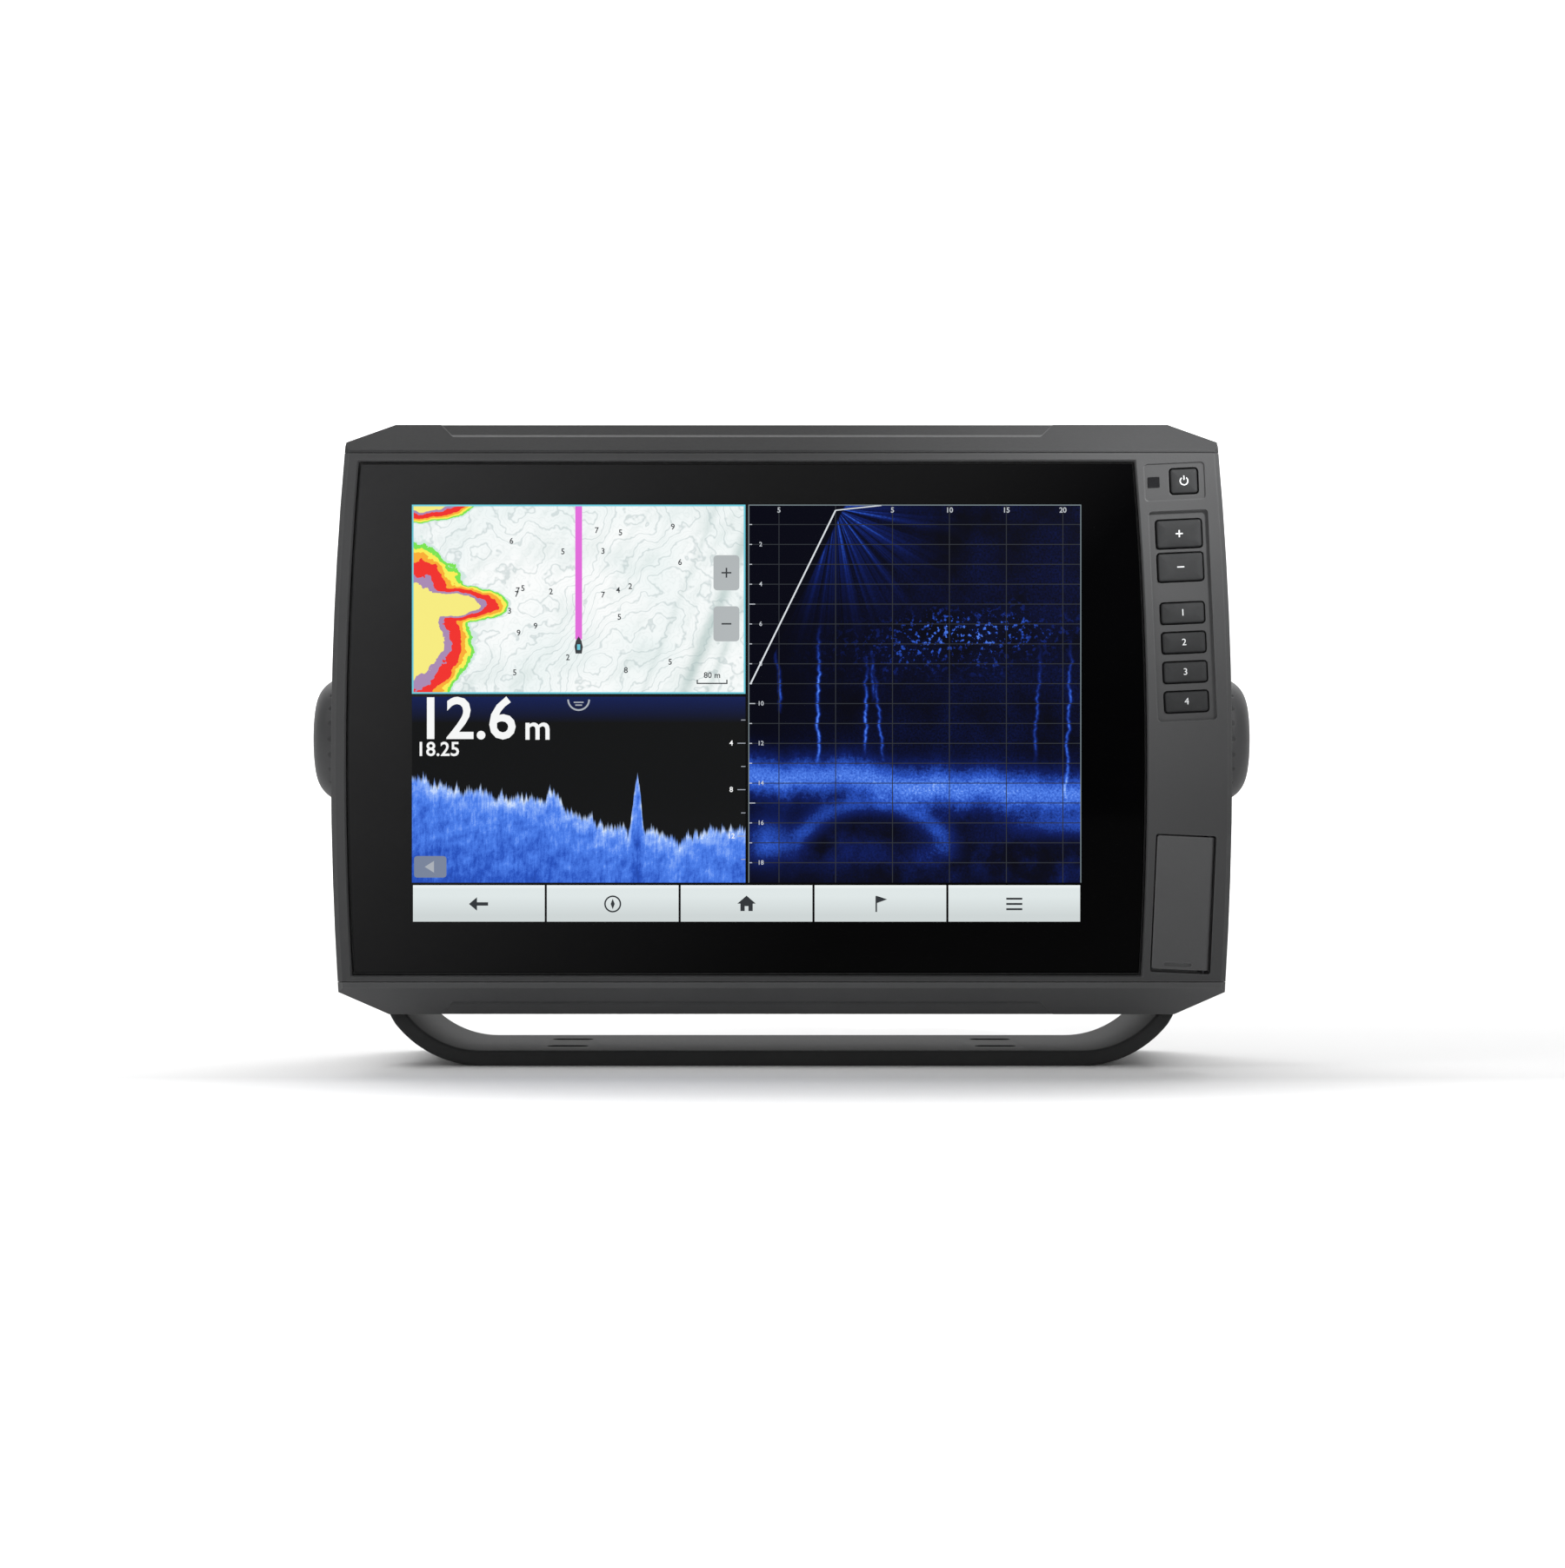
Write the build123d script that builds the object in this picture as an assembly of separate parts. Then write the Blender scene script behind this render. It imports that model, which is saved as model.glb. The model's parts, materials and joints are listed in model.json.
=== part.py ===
from build123d import *
import math
import os

# A ten-inch chartplotter display in a quick-release cradle on a bail bracket.
# Millimetres, +Z up. The display faces -Y. The origin is the middle of the
# bracket's underside, at the centre of its four screw slots.

# ---------------------------------------------------------------- bracket
STRAP_T = 5.0             # thickness of the bent strap
STRAP_HALF_D = 36.0       # half the base's depth, front to back
ARM_GAP = 260.0           # between the inner faces of the two arms
BEND_R = 31.0             # inner radius of the strap's two bends
PIVOT_Z = 108.0           # height of the tilt axis
ARM_HEAD_R = 19.0         # round head of each arm
FLARE_FOOT_Z = 16.0       # the strap keeps its full depth up to here
ARM_WAIST_Z = 46.0        # where the base's flare has narrowed to the arm
ARM_WAIST_HALF_D = 21.0
FLARE_SAG = 2.6           # hollow of the curve between base and arm
SLOT_L = 14.0             # base screw slots: overall length, along X
SLOT_W = 6.0
SLOT_SPACING_X = 143.4
SLOT_SPACING_Y = 30.0

# ---------------------------------------------------------------- knobs
STUD_R = 3.0              # M6 clamping stud
STUD_HOLE_CLEARANCE = 0.3
RUNNING_CLEARANCE = 0.05  # radial, stud in insert and pins in their bores
STUD_REACH = 7.2          # how far the stud goes into the cradle's insert
KNOB_R = 21.0
KNOB_L = 21.3
KNOB_EDGE_R = 9.5
KNOB_BACK_CHAMFER = 1.0
KNOB_FLUTES = 24
KNOB_FLUTE_R = 1.6
KNOB_FLUTE_DEPTH = 0.8
STUD_IN_KNOB = 12.0
WASHER_T = 1.2
WASHER_R = 14.0

# ---------------------------------------------------------------- case
BODY_W = 292.6            # widest, across the bowed sides
BODY_H = 193.0
CASE_BOTTOM = 17.5        # underside of the case above the floor
BOW_R = 1140.0            # the sides' bow
BOW_RISE = 82.0           # the widest point above the underside
TOP_CHAMFER = (20.0, 6.5)      # the long shallow corners: across, down
BOTTOM_CHAMFER = (17.8, 7.8)
FRONT_Y = -54.0           # face of the bezel
BEZEL_D = 13.0            # bezel, front to back
SIDE_CHAMFER = 1.6        # front edge of the case
SLOPE_D = 11.0            # depth over which the trims slope back
TOP_RIDGE_DROP = 9.4      # top edge down to the ridge where the slope starts
BOTTOM_RIDGE_RISE = 9.3
TOP_TRIM_LIP = 0.9        # flat lip of each trim beside its ridge
BOTTOM_TRIM_LIP = 2.0
TRIM_T = 2.2              # wall of the trims
TRIM_SEAM = 0.2           # open line between trim and bezel
STRIP_HALF_W = 95.6       # sunk strip along each trim's outer edge, at its ledge
TOP_STRIP_H = 4.5         # seen from the front, from the edge to the ledge
BOTTOM_STRIP_H = 4.5
STRIP_LEDGE = (1.8, 0.8)  # the ledge down into the strip: back, up
OVERCUT = 1.0             # how far a cutter reaches past what it cuts
RIM_W = 9.0               # width of the bezel's rear rim

# ---------------------------------------------------------------- glass and panel
GLASS_T = 2.4
GLASS_SINK = 0.35         # glass below the face of the bezel
GLASS_GAP = 0.8           # dark line round the glass
GLASS_LEFT_IN = 5.8       # glass edge from the case's left side
GLASS_RIGHT_IN = 28.5     # glass edge from the case's right side
GLASS_TOP_DROP = 13.8
GLASS_BOTTOM_RISE = 14.1
GLASS_LIP = 0.6           # chamfer round the window
ADHESIVE_T = 0.6
LEDGE_T = 2.0             # ledge that the glass is bonded to
ACTIVE_W = 217.0          # lit area
ACTIVE_H = 135.6
ACTIVE_RISE = 98.2        # centre of the lit area above the underside
PANEL_BORDER = 5.5        # panel edge outside the lit area
BOND_T = 0.4
LCD_T = 3.0
BACKLIGHT_T = 4.0
WINDOW_MARGIN = 1.4       # opening in the ledge outside the panel
LCD_FRAME_T = 0.8
LCD_TAB = 6.0             # corner tabs of the panel's frame
LCD_SCREW_R = 1.0

# ---------------------------------------------------------------- key column
COLUMN_IN = 15.2          # centre line of the key column from the case's side
COLUMN_TILT = 2.6         # degrees that the column follows the bowed side
WALL_T = 2.6              # bezel wall at the keys
POWER_DROP = 19.5         # power field below the top edge
POWER_FIELD = (19.6, 12.0)
POWER_FIELD_DEPTH = 0.35
POWER_KEY = (8.8, 8.0)
POWER_KEY_OFF = 3.0       # power key right of the field's centre
SENSOR = (3.7, 3.3)
SENSOR_OFF = 6.8          # sensor window left of the field's centre
BAY_DROP = 63.0           # centre of the key bay below the top edge
BAY = (19.2, 68.2)
BAY_DEPTH = 1.1
BAY_RADIUS = 1.2
ZOOM_KEY = (14.6, 9.0)
ZOOM_PITCH = 10.8
ZOOM_RISE = 21.2          # middle of the zoom pair above the bay's centre
PRESET_KEY = (14.0, 6.6)
PRESET_PITCH = 9.6
PRESET_TOP_RISE = 0.9     # first preset key above the bay's centre
PRESETS = 4
KEY_PROUD = 0.25          # key faces in front of the bezel's face
KEY_GAP = 0.4
KEY_EDGE_R = 0.9
KEY_FLANGE = 0.8
KEY_FLANGE_T = 0.7
KEY_TRAVEL = 0.6
KEY_SLACK = 0.1           # free play in front of and behind the key's flange
MEMBRANE_T = 0.7
SWITCH_T = 0.8
SWITCH_W = 4.2
KEY_BOARD_T = 1.2
KEY_CAVITY = (20.5, 86.0)
SKIRT_T = 1.2             # rim of the rubber membrane

# ---------------------------------------------------------------- card door
DOOR_RISE = 36.8          # centre of the door above the underside
DOOR = (18.6, 43.2)
DOOR_T = 2.2
DOOR_GAP = 0.5
DOOR_FINGER_GAP = 1.1     # wider gap at the lower edge
HINGE_R = 1.7
HINGE_PIN_R = 0.6
HINGE_CLEARANCE = 0.35
PIN_EMBED = 1.6
CARD_BAY = (9.6, 35.0)
CARD_BAY_OFF = 1.8        # card bay left of the door's centre
CARD_BAY_WALL = 1.4
CARD_BAY_D = 10.5
DOOR_SEAL_W = 1.2
DOOR_SEAL_GAP = 0.6
DOOR_FLOOR_GAP = 0.2      # behind the closed door
CARD_SOCKET = (3.0, 6.5, 14.0)
CARD_SLOT = (1.0, 5.0, 12.0)
CARD_SOCKET_PITCH = 17.0
CARD_BOARD_T = 1.2

# ---------------------------------------------------------------- rear housing
HOUSING_WALL = 2.5
FLANGE_T = 2.5
FLANGE_IN = 1.5
STEP1_HALF_W = 126.0
STEP1_BACK_Y = -24.0
STEP1_MARGIN = 7.5        # above and below, inside the case's height
STEP2_HALF_W = 118.0
STEP2_HALF_H = 56.0       # about the tilt axis
BACK_Y = -6.0
STEP_R = 7.0
STEP_CHAMFER = 1.5
RIB_COUNT = 9             # cooling ribs along the upper and lower shelf
RIB_W = 1.6
RIB_H = 2.2
SEAL_W = 1.6
SEAL_D = 1.2
SEAL_IN = 6.9
SCREW_R = 1.5
SCREW_HEAD_R = 2.8
SCREW_HEAD_T = 2.0
SCREW_DEPTH = 5.5         # screw holes in the bezel
SCREW_END_GAP = 0.5
SCREW_IN = 5.0            # housing screws from the case's side
LOW_SCREW_RISE = 17.0
TOP_SCREW_DROP = 8.0
TOP_SCREW_IN = 8.0
VENT_R = 5.0
VENT_IN = 16.0            # vent from the rear step's side
VENT_RISE = 38.0          # vent above the tilt axis
VENT_HEAD = (7.0, 1.1)    # radius, thickness
VENT_SLOT = (8.0, 1.0, 0.5)
SOCKET_R = 8.5
SOCKET_COLLAR_R = 10.5
SOCKET_COLLAR_T = 2.5
SOCKET_WALL = 1.5
SOCKET_FLOOR = 1.0
PIN_RING_R = 4.0          # contact pins in each socket
PIN_R = 0.7
PIN_SHORT = 3.0           # pins end this far inside the mouth
SOCKET_SPACING = 36.0
SOCKET_Z_OFF = -6.0       # socket row below the tilt axis
SOCKET_OUT = 11.0         # sockets behind the housing's back
CAP_T = 1.6
CAP_EDGE_R = 1.0
CAP_GAP = 1.0             # between a cap's skirt and the cradle's plate

# ---------------------------------------------------------------- electronics
MAIN_BOARD = (196.0, 88.0)
MAIN_BOARD_T = 1.6
BOSS_R = 3.2
BOSS_L = 11.5             # bosses from the back wall to the main board
CHIP_RISE = 20.0          # processor, pad, antenna and buzzer above the tilt axis
SPREADER = (84.0, 34.0)
SPREADER_T = 2.0
SPREADER_FOOT_W = 6.0
PAD_W = 30.0
PAD_T = 1.5
ANTENNA = (35.0, 6.0)
BUZZER_R = 7.0
BUZZER_T = 7.0
RIBBON_T = 0.35
RIBBON_FOOT = 7.0
DISPLAY_RIBBON_HALF_W = 20.0
DISPLAY_RIBBON_DROP = 24.0     # below the tilt axis
KEY_RIBBON_HALF_H = 4.0
KEY_RIBBON_DROP = 4.0          # below the key bay's centre
KEY_RIBBON_IN = 12.0           # its foot, from the main board's side
KEY_RIBBON_FOOT = 6.0
RIBBON_CLEARANCE = 0.3
BOARD_SCREW_GRIP = 6.0         # board screws into their bosses

# ---------------------------------------------------------------- cradle
CRADLE_HALF_W = 125.0
CRADLE_HALF_H = 60.0
CRADLE_GAP = 1.5          # behind the display's back
CRADLE_PLATE_T = 3.5
CRADLE_RIM_D = 15.0
CRADLE_RIM_T = 3.0
CRADLE_R = 12.0
EAR_GAP = 0.3             # between the ear and the arm
EAR_IN = 3.5              # between the ear and the housing's rear step
EAR_R = 17.0
INSERT_R = 5.5
WINDOW = (154.0, 34.0)
WINDOW_R = 6.0
TONGUE = (14.0, 9.0, 5.0)
TONGUE_X = 78.0
TONGUE_CLEARANCE = 0.5
POCKET_WALL = 2.0
LOCK_BAR = (150.0, 3.0, 10.0)
LOCK_BAR_GAP = 1.0        # below the window
SADDLE = (18.0, 9.0, 3.0)
SADDLE_DIP_R = 5.5        # hollow for a cable, centred above the saddle
SADDLE_DIP_RISE = 7.0
LOCK_SCREW_X = 66.0
LATCH_W = 20.0
LATCH_WING_W = 27.0
LATCH_T = 0.8
LATCH_REACH = 8.0         # the leaf's nose in front of the cradle's plate
LATCH_LIFT = 1.2          # leaf above the plate's top edge
NOTCH_DEPTH = 1.3
NOTCH_GAP = 0.8           # in front of and behind the nose
NOSE_GAP = 0.4            # below the nose
LATCH_LEG = 15.0          # leaf down the plate's back
WING_IN = 1.0
LEVER_PIN_R = 1.2
LEVER_PIN_BACK = 7.0      # lever pin behind the plate
LEVER_PIN_DROP = 8.0      # lever pin below the plate's top edge
LEVER_HUB_R = 3.4
LEVER_HALF_W = 14.0
LUG_T = 3.5
LUG_GAP = 0.4
LUG_MARGIN = 1.0          # lug round the lever's hub
TOE_GAP = 0.5             # either side of each toe, in the plate's notches
TOE_NOTCH = 4.0
PADDLE_H = 22.0
PADDLE_T = 3.0
PADDLE_LEAN = 4.0         # its tip stands this far back
TOE_IN = 1.0              # toe from the leaf's side
TOE_UNDER_LEAF = 0.3
TOE_LOW = 2.6             # underside of the toes below the plate's top edge
TOE_SHORT = 2.0           # toes end this far short of the leaf's nose
TOE_ROOT = 1.0            # thickening where the toes meet the hub

# ---------------------------------------------------------------- worked out
CASE_TOP = CASE_BOTTOM + BODY_H
BOW_Z = CASE_BOTTOM + BOW_RISE
BEZEL_BACK_Y = FRONT_Y + BEZEL_D
TOP_RIDGE_Z = CASE_TOP - TOP_RIDGE_DROP
BOTTOM_RIDGE_Z = CASE_BOTTOM + BOTTOM_RIDGE_RISE
TOP_SPLIT = TOP_RIDGE_Z - TOP_TRIM_LIP
BOTTOM_SPLIT = BOTTOM_RIDGE_Z + BOTTOM_TRIM_LIP
ARM_IN = ARM_GAP / 2
ARM_OUT = ARM_IN + STRAP_T
BEND_X = ARM_IN - BEND_R
GLASS_FRONT_Y = FRONT_Y + GLASS_SINK
GLASS_BACK_Y = GLASS_FRONT_Y + GLASS_T
LEDGE_Y = GLASS_BACK_Y + ADHESIVE_T
LEDGE_BACK_Y = LEDGE_Y + LEDGE_T
LCD_Y = GLASS_BACK_Y + BOND_T
BACKLIGHT_Y = LCD_Y + LCD_T
FRAME_Y = BACKLIGHT_Y + BACKLIGHT_T
WALL_BACK_Y = FRONT_Y + WALL_T
GLASS_CX = (GLASS_LEFT_IN - GLASS_RIGHT_IN) / 2
ACTIVE_Z = CASE_BOTTOM + ACTIVE_RISE
PANEL = (ACTIVE_W + 2 * PANEL_BORDER, ACTIVE_H + 2 * PANEL_BORDER)
OPENING = (PANEL[0] + 2 * WINDOW_MARGIN, PANEL[1] + 2 * WINDOW_MARGIN)
POWER_Z = CASE_TOP - POWER_DROP
BAY_Z = CASE_TOP - BAY_DROP
DOOR_Z = CASE_BOTTOM + DOOR_RISE
KEY_FLANGE_Y = WALL_BACK_Y + KEY_SLACK
MEMBRANE_Y = KEY_FLANGE_Y + KEY_FLANGE_T + KEY_TRAVEL + KEY_SLACK
SWITCH_Y = MEMBRANE_Y + MEMBRANE_T
KEY_BOARD_Y = SWITCH_Y + SWITCH_T
PLATE_Y = BACK_Y + CRADLE_GAP
PLATE_BACK_Y = PLATE_Y + CRADLE_PLATE_T
CRADLE_TOP = PIVOT_Z + CRADLE_HALF_H
EAR_X_IN = STEP2_HALF_W + EAR_IN
EAR_X_OUT = ARM_IN - EAR_GAP
BOARD_Y = BACK_Y - HOUSING_WALL - BOSS_L - MAIN_BOARD_T
CHIP_Z = PIVOT_Z + CHIP_RISE
LEVER_PIN_Y = PLATE_BACK_Y + LEVER_PIN_BACK
LEVER_PIN_Z = CRADLE_TOP - LEVER_PIN_DROP
FAR = 400.0


# ---------------------------------------------------------------- helpers
def side_half(z):
    """Half the case's width at height z."""
    return BODY_W / 2 - BOW_R + math.sqrt(BOW_R**2 - (z - BOW_Z) ** 2)


def slab(face, y_front, y_back):
    """A front-view face given depth from y_front back to y_back."""
    return extrude(Plane.XZ.offset(-y_back) * face, amount=y_back - y_front)


def side_prism(points, x_from, x_to):
    """A side-view polygon of (y, z) points, from x_from to x_to."""
    face = make_face(Polyline(*points, close=True))
    return extrude(Plane.YZ.offset(x_from) * face, amount=x_to - x_from)


def block(x_span, y_span, z_span):
    """A box between two values on each axis."""
    spans = (x_span, y_span, z_span)
    middle = [(low + high) / 2 for low, high in spans]
    return Pos(*middle) * Box(*[high - low for low, high in spans])


def rod_x(x_from, x_to, y, z, radius):
    """A cylinder along X."""
    return Pos((x_from + x_to) / 2, y, z) * Rot(0, 90, 0) * Cylinder(radius, abs(x_to - x_from))


def rod_y(x, y_from, y_to, z, radius):
    """A cylinder along Y."""
    return Pos(x, (y_from + y_to) / 2, z) * Rot(90, 0, 0) * Cylinder(radius, abs(y_to - y_from))


def bowed_face(left_in, right_in, z_low, z_high):
    """A face between two curves parallel to the case's bowed sides."""
    z_mid = (z_low + z_high) / 2
    right = [(side_half(z) - right_in, z) for z in (z_low, z_mid, z_high)]
    left = [(left_in - side_half(z), z) for z in (z_low, z_mid, z_high)]
    lines = [
        ThreePointArc(*right),
        Line(right[2], left[2]),
        ThreePointArc(*left),
        Line(left[0], right[0]),
    ]
    return make_face(lines)


def column_x(z):
    """Centre line of the key column at height z."""
    return side_half(z) - COLUMN_IN


class Tilted:
    """A front-view frame at (x, z), turned by ccw degrees to follow the case's side."""

    def __init__(self, z, ccw):
        self.x = column_x(z)
        self.z = z
        self.ccw = ccw

    def place(self, u, v, face):
        return Pos(self.x, self.z) * Rot(0, 0, self.ccw) * Pos(u, v) * face

    def point(self, u, v):
        turn = math.radians(self.ccw)
        x = self.x + u * math.cos(turn) - v * math.sin(turn)
        z = self.z + u * math.sin(turn) + v * math.cos(turn)
        return x, z

    def rod(self, u, v, y, radius, length):
        """A cylinder along this frame's upright direction."""
        x, z = self.point(u, v)
        return Pos(x, y, z) * Rot(0, -self.ccw, 0) * Cylinder(radius, length)


POWER_FRAME = Tilted(POWER_Z, COLUMN_TILT)
BAY_FRAME = Tilted(BAY_Z, COLUMN_TILT)
DOOR_FRAME = Tilted(DOOR_Z, -COLUMN_TILT)


# ---------------------------------------------------------------- bracket and knobs
def mount_bracket():
    """One strap bent into a U, flared to the base, with a round head on each arm."""
    head_z = PIVOT_Z + ARM_HEAD_R
    outer = Pos(0, head_z / 2) * Rectangle(2 * ARM_OUT, head_z)
    outer = fillet(outer.vertices().group_by(Axis.Y)[0], BEND_R + STRAP_T)
    inner = Pos(0, (head_z + STRAP_T) / 2) * Rectangle(2 * ARM_IN, head_z - STRAP_T)
    inner = fillet(inner.vertices().group_by(Axis.Y)[0], BEND_R)
    strap = slab(outer - inner, -STRAP_HALF_D, STRAP_HALF_D)

    low = (STRAP_HALF_D, FLARE_FOOT_Z)
    waist = (ARM_WAIST_HALF_D, ARM_WAIST_Z)
    middle = (
        (low[0] + waist[0]) / 2 - FLARE_SAG,
        (low[1] + waist[1]) / 2 - FLARE_SAG,
    )
    lines = [
        Line((-STRAP_HALF_D, 0), (STRAP_HALF_D, 0)),
        Line((ARM_HEAD_R, PIVOT_Z), (-ARM_HEAD_R, PIVOT_Z)),
    ]
    for side in (-1, 1):
        foot_edge, bend, neck = [(side * y, z) for y, z in (low, middle, waist)]
        lines += [
            Line((side * STRAP_HALF_D, 0), foot_edge),
            ThreePointArc(foot_edge, bend, neck),
            Line(neck, (side * ARM_HEAD_R, PIVOT_Z)),
        ]
    outline = extrude(Plane.YZ.offset(-FAR / 2) * make_face(lines), amount=FAR)
    outline += rod_x(-FAR / 2, FAR / 2, 0, PIVOT_Z, ARM_HEAD_R)
    bracket = strap & outline
    bracket -= rod_x(-FAR / 2, FAR / 2, 0, PIVOT_Z, STUD_R + STUD_HOLE_CLEARANCE)
    for x in (-SLOT_SPACING_X / 2, SLOT_SPACING_X / 2):
        for y in (-SLOT_SPACING_Y / 2, SLOT_SPACING_Y / 2):
            bracket -= Pos(x, y, 0) * extrude(SlotOverall(SLOT_L, SLOT_W), amount=STRAP_T)
    return bracket


def knob_grip(side):
    """Domed knob with fine flutes. The stud is moulded into its bore."""
    start = ARM_OUT + WASHER_T
    profile = Pos(start + KNOB_L / 2, KNOB_R / 2) * Rectangle(KNOB_L, KNOB_R)
    corners = profile.vertices().group_by(Axis.Y)[-1].sort_by(Axis.X)
    profile = fillet(corners[-1], KNOB_EDGE_R)
    knob = revolve(profile, Axis.X)
    knob = chamfer(knob.edges().group_by(Axis.X)[0], KNOB_BACK_CHAMFER)
    for step in range(KNOB_FLUTES):
        turn = 2 * math.pi * step / KNOB_FLUTES
        reach = KNOB_R + KNOB_FLUTE_R - KNOB_FLUTE_DEPTH
        knob -= rod_x(
            start - 1,
            start + KNOB_L + 1,
            reach * math.cos(turn),
            reach * math.sin(turn),
            KNOB_FLUTE_R,
        )
    knob -= rod_x(start, start + STUD_IN_KNOB, 0, 0, STUD_R)
    knob = Pos(0, 0, PIVOT_Z) * knob
    return knob if side > 0 else mirror(knob, Plane.YZ)


def knob_stud(side):
    inner = side * (EAR_X_OUT - STUD_REACH)
    outer = side * (ARM_OUT + WASHER_T + STUD_IN_KNOB)
    return rod_x(inner, outer, 0, PIVOT_Z, STUD_R)


def knob_washer(side):
    inner, outer = side * ARM_OUT, side * (ARM_OUT + WASHER_T)
    washer = rod_x(inner, outer, 0, PIVOT_Z, WASHER_R)
    return washer - rod_x(inner, outer, 0, PIVOT_Z, STUD_R + RUNNING_CLEARANCE)


# ---------------------------------------------------------------- case
def case_face():
    """Front outline of the case: bowed sides and long shallow corners."""
    top_z = CASE_TOP - TOP_CHAMFER[1]
    low_z = CASE_BOTTOM + BOTTOM_CHAMFER[1]
    top_half = BODY_W / 2 - TOP_CHAMFER[0]
    low_half = BODY_W / 2 - BOTTOM_CHAMFER[0]
    right = [(side_half(low_z), low_z), (side_half(BOW_Z), BOW_Z), (side_half(top_z), top_z)]
    left = [(-x, z) for x, z in right]
    lines = [
        ThreePointArc(*right),
        Line(right[2], (top_half, CASE_TOP)),
        Line((top_half, CASE_TOP), (-top_half, CASE_TOP)),
        Line((-top_half, CASE_TOP), left[2]),
        ThreePointArc(*left),
        Line(left[0], (-low_half, CASE_BOTTOM)),
        Line((-low_half, CASE_BOTTOM), (low_half, CASE_BOTTOM)),
        Line((low_half, CASE_BOTTOM), right[0]),
    ]
    return make_face(lines)


def shrunk(distance):
    """The case's outline, smaller all round."""
    return offset(case_face(), amount=-distance, kind=Kind.INTERSECTION)


def slope_cut(top, depth):
    """What lies in front of one trim's slope, moved back into the case by depth."""
    drop = TOP_RIDGE_DROP if top else BOTTOM_RIDGE_RISE
    length = math.hypot(drop, SLOPE_D)
    # along the slope and square to it, as (y, height above the ridge)
    along = (SLOPE_D / length, drop / length)
    inward = (drop / length * depth, -SLOPE_D / length * depth)
    reach = 40.0
    near = (inward[0] - reach * along[0], inward[1] - reach * along[1])
    far = (inward[0] + reach * along[0], inward[1] + reach * along[1])
    corner = (near[0], far[1])
    ridge, sign = (TOP_RIDGE_Z, 1) if top else (BOTTOM_RIDGE_Z, -1)
    points = [(FRONT_Y + y, ridge + sign * z) for y, z in (near, far, corner)]
    return side_prism(points, -FAR / 2, FAR / 2)


def case_block():
    """The front part of the case as one block, before it is divided."""
    body = slab(case_face(), FRONT_Y, BEZEL_BACK_Y)
    body = chamfer(body.faces().sort_by(Axis.Y)[0].edges(), SIDE_CHAMFER)
    return body - slope_cut(True, 0) - slope_cut(False, 0)


def trim_core():
    """What the trims are wrapped round."""
    core = slab(shrunk(TRIM_T), FRONT_Y + TRIM_T, BEZEL_BACK_Y)
    return core - slope_cut(True, TRIM_T) - slope_cut(False, TRIM_T)


def height_band(z_low, z_high):
    return block((-FAR / 2, FAR / 2), (FRONT_Y - 10, BEZEL_BACK_Y + 10), (z_low, z_high))


def sunk_strip(top):
    """What is cut from a trim's slope: a ledge, then a strip parallel to the slope."""
    if top:
        ridge, sign, drop, height = TOP_RIDGE_Z, 1, TOP_RIDGE_DROP, TOP_STRIP_H
    else:
        ridge, sign, drop, height = BOTTOM_RIDGE_Z, -1, BOTTOM_RIDGE_RISE, BOTTOM_STRIP_H
    share = 1 - height / drop
    foot = (share * SLOPE_D, share * drop)
    ledge = (foot[0] + STRIP_LEDGE[0], foot[1] + STRIP_LEDGE[1])
    side_points = [
        foot,
        ledge,
        (ledge[0] + SLOPE_D, ledge[1] + drop),
        (foot[0] + SLOPE_D - OVERCUT, foot[1] + drop + OVERCUT),
    ]
    side_view = [(FRONT_Y + y, ridge + sign * z) for y, z in side_points]
    cutter = side_prism(side_view, -FAR / 2, FAR / 2)
    low, high = foot[1] - OVERCUT, drop + OVERCUT
    low_half = STRIP_HALF_W - OVERCUT
    high_half = STRIP_HALF_W + height + OVERCUT
    front_view = [
        (GLASS_CX - low_half, ridge + sign * low),
        (GLASS_CX + low_half, ridge + sign * low),
        (GLASS_CX + high_half, ridge + sign * high),
        (GLASS_CX - high_half, ridge + sign * high),
    ]
    face = make_face(Polyline(*front_view, close=True))
    return cutter & slab(face, FRONT_Y - OVERCUT, BEZEL_BACK_Y + OVERCUT)


def trim_cap(top):
    """A cap round the case's upper or lower edge, with a sunk strip on its slope."""
    if top:
        band = height_band(TOP_SPLIT + TRIM_SEAM, CASE_TOP + 10)
    else:
        band = height_band(CASE_BOTTOM - 10, BOTTOM_SPLIT - TRIM_SEAM)
    return (case_block() & band) - trim_core() - sunk_strip(top)


def glass_face(grow):
    """The glass's outline, larger all round by grow."""
    return bowed_face(
        GLASS_LEFT_IN - grow,
        GLASS_RIGHT_IN - grow,
        CASE_BOTTOM + GLASS_BOTTOM_RISE - grow,
        CASE_TOP - GLASS_TOP_DROP + grow,
    )


def panel_face(size):
    """A rectangle centred on the lit area."""
    return Pos(GLASS_CX, ACTIVE_Z) * Rectangle(*size)


def bay_keys():
    """Name, place in the key bay and size of each of its keys."""
    keys = [
        ("zoom_in_key", ZOOM_RISE + ZOOM_PITCH / 2, ZOOM_KEY),
        ("zoom_out_key", ZOOM_RISE - ZOOM_PITCH / 2, ZOOM_KEY),
    ]
    for number in range(PRESETS):
        rise = PRESET_TOP_RISE - number * PRESET_PITCH
        keys.append((f"preset_{number + 1}_key", rise, PRESET_KEY))
    return keys


def all_keys():
    """Name, frame, place in the frame and size of every key."""
    keys = [("power_key", POWER_FRAME, POWER_KEY_OFF, 0.0, POWER_KEY)]
    for name, rise, size in bay_keys():
        keys.append((name, BAY_FRAME, 0.0, rise, size))
    return keys


def key_face(key, grow):
    _, frame, u, v, size = key
    shape = RectangleRounded(size[0] + 2 * grow, size[1] + 2 * grow, KEY_EDGE_R + grow)
    return frame.place(u, v, shape)


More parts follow.
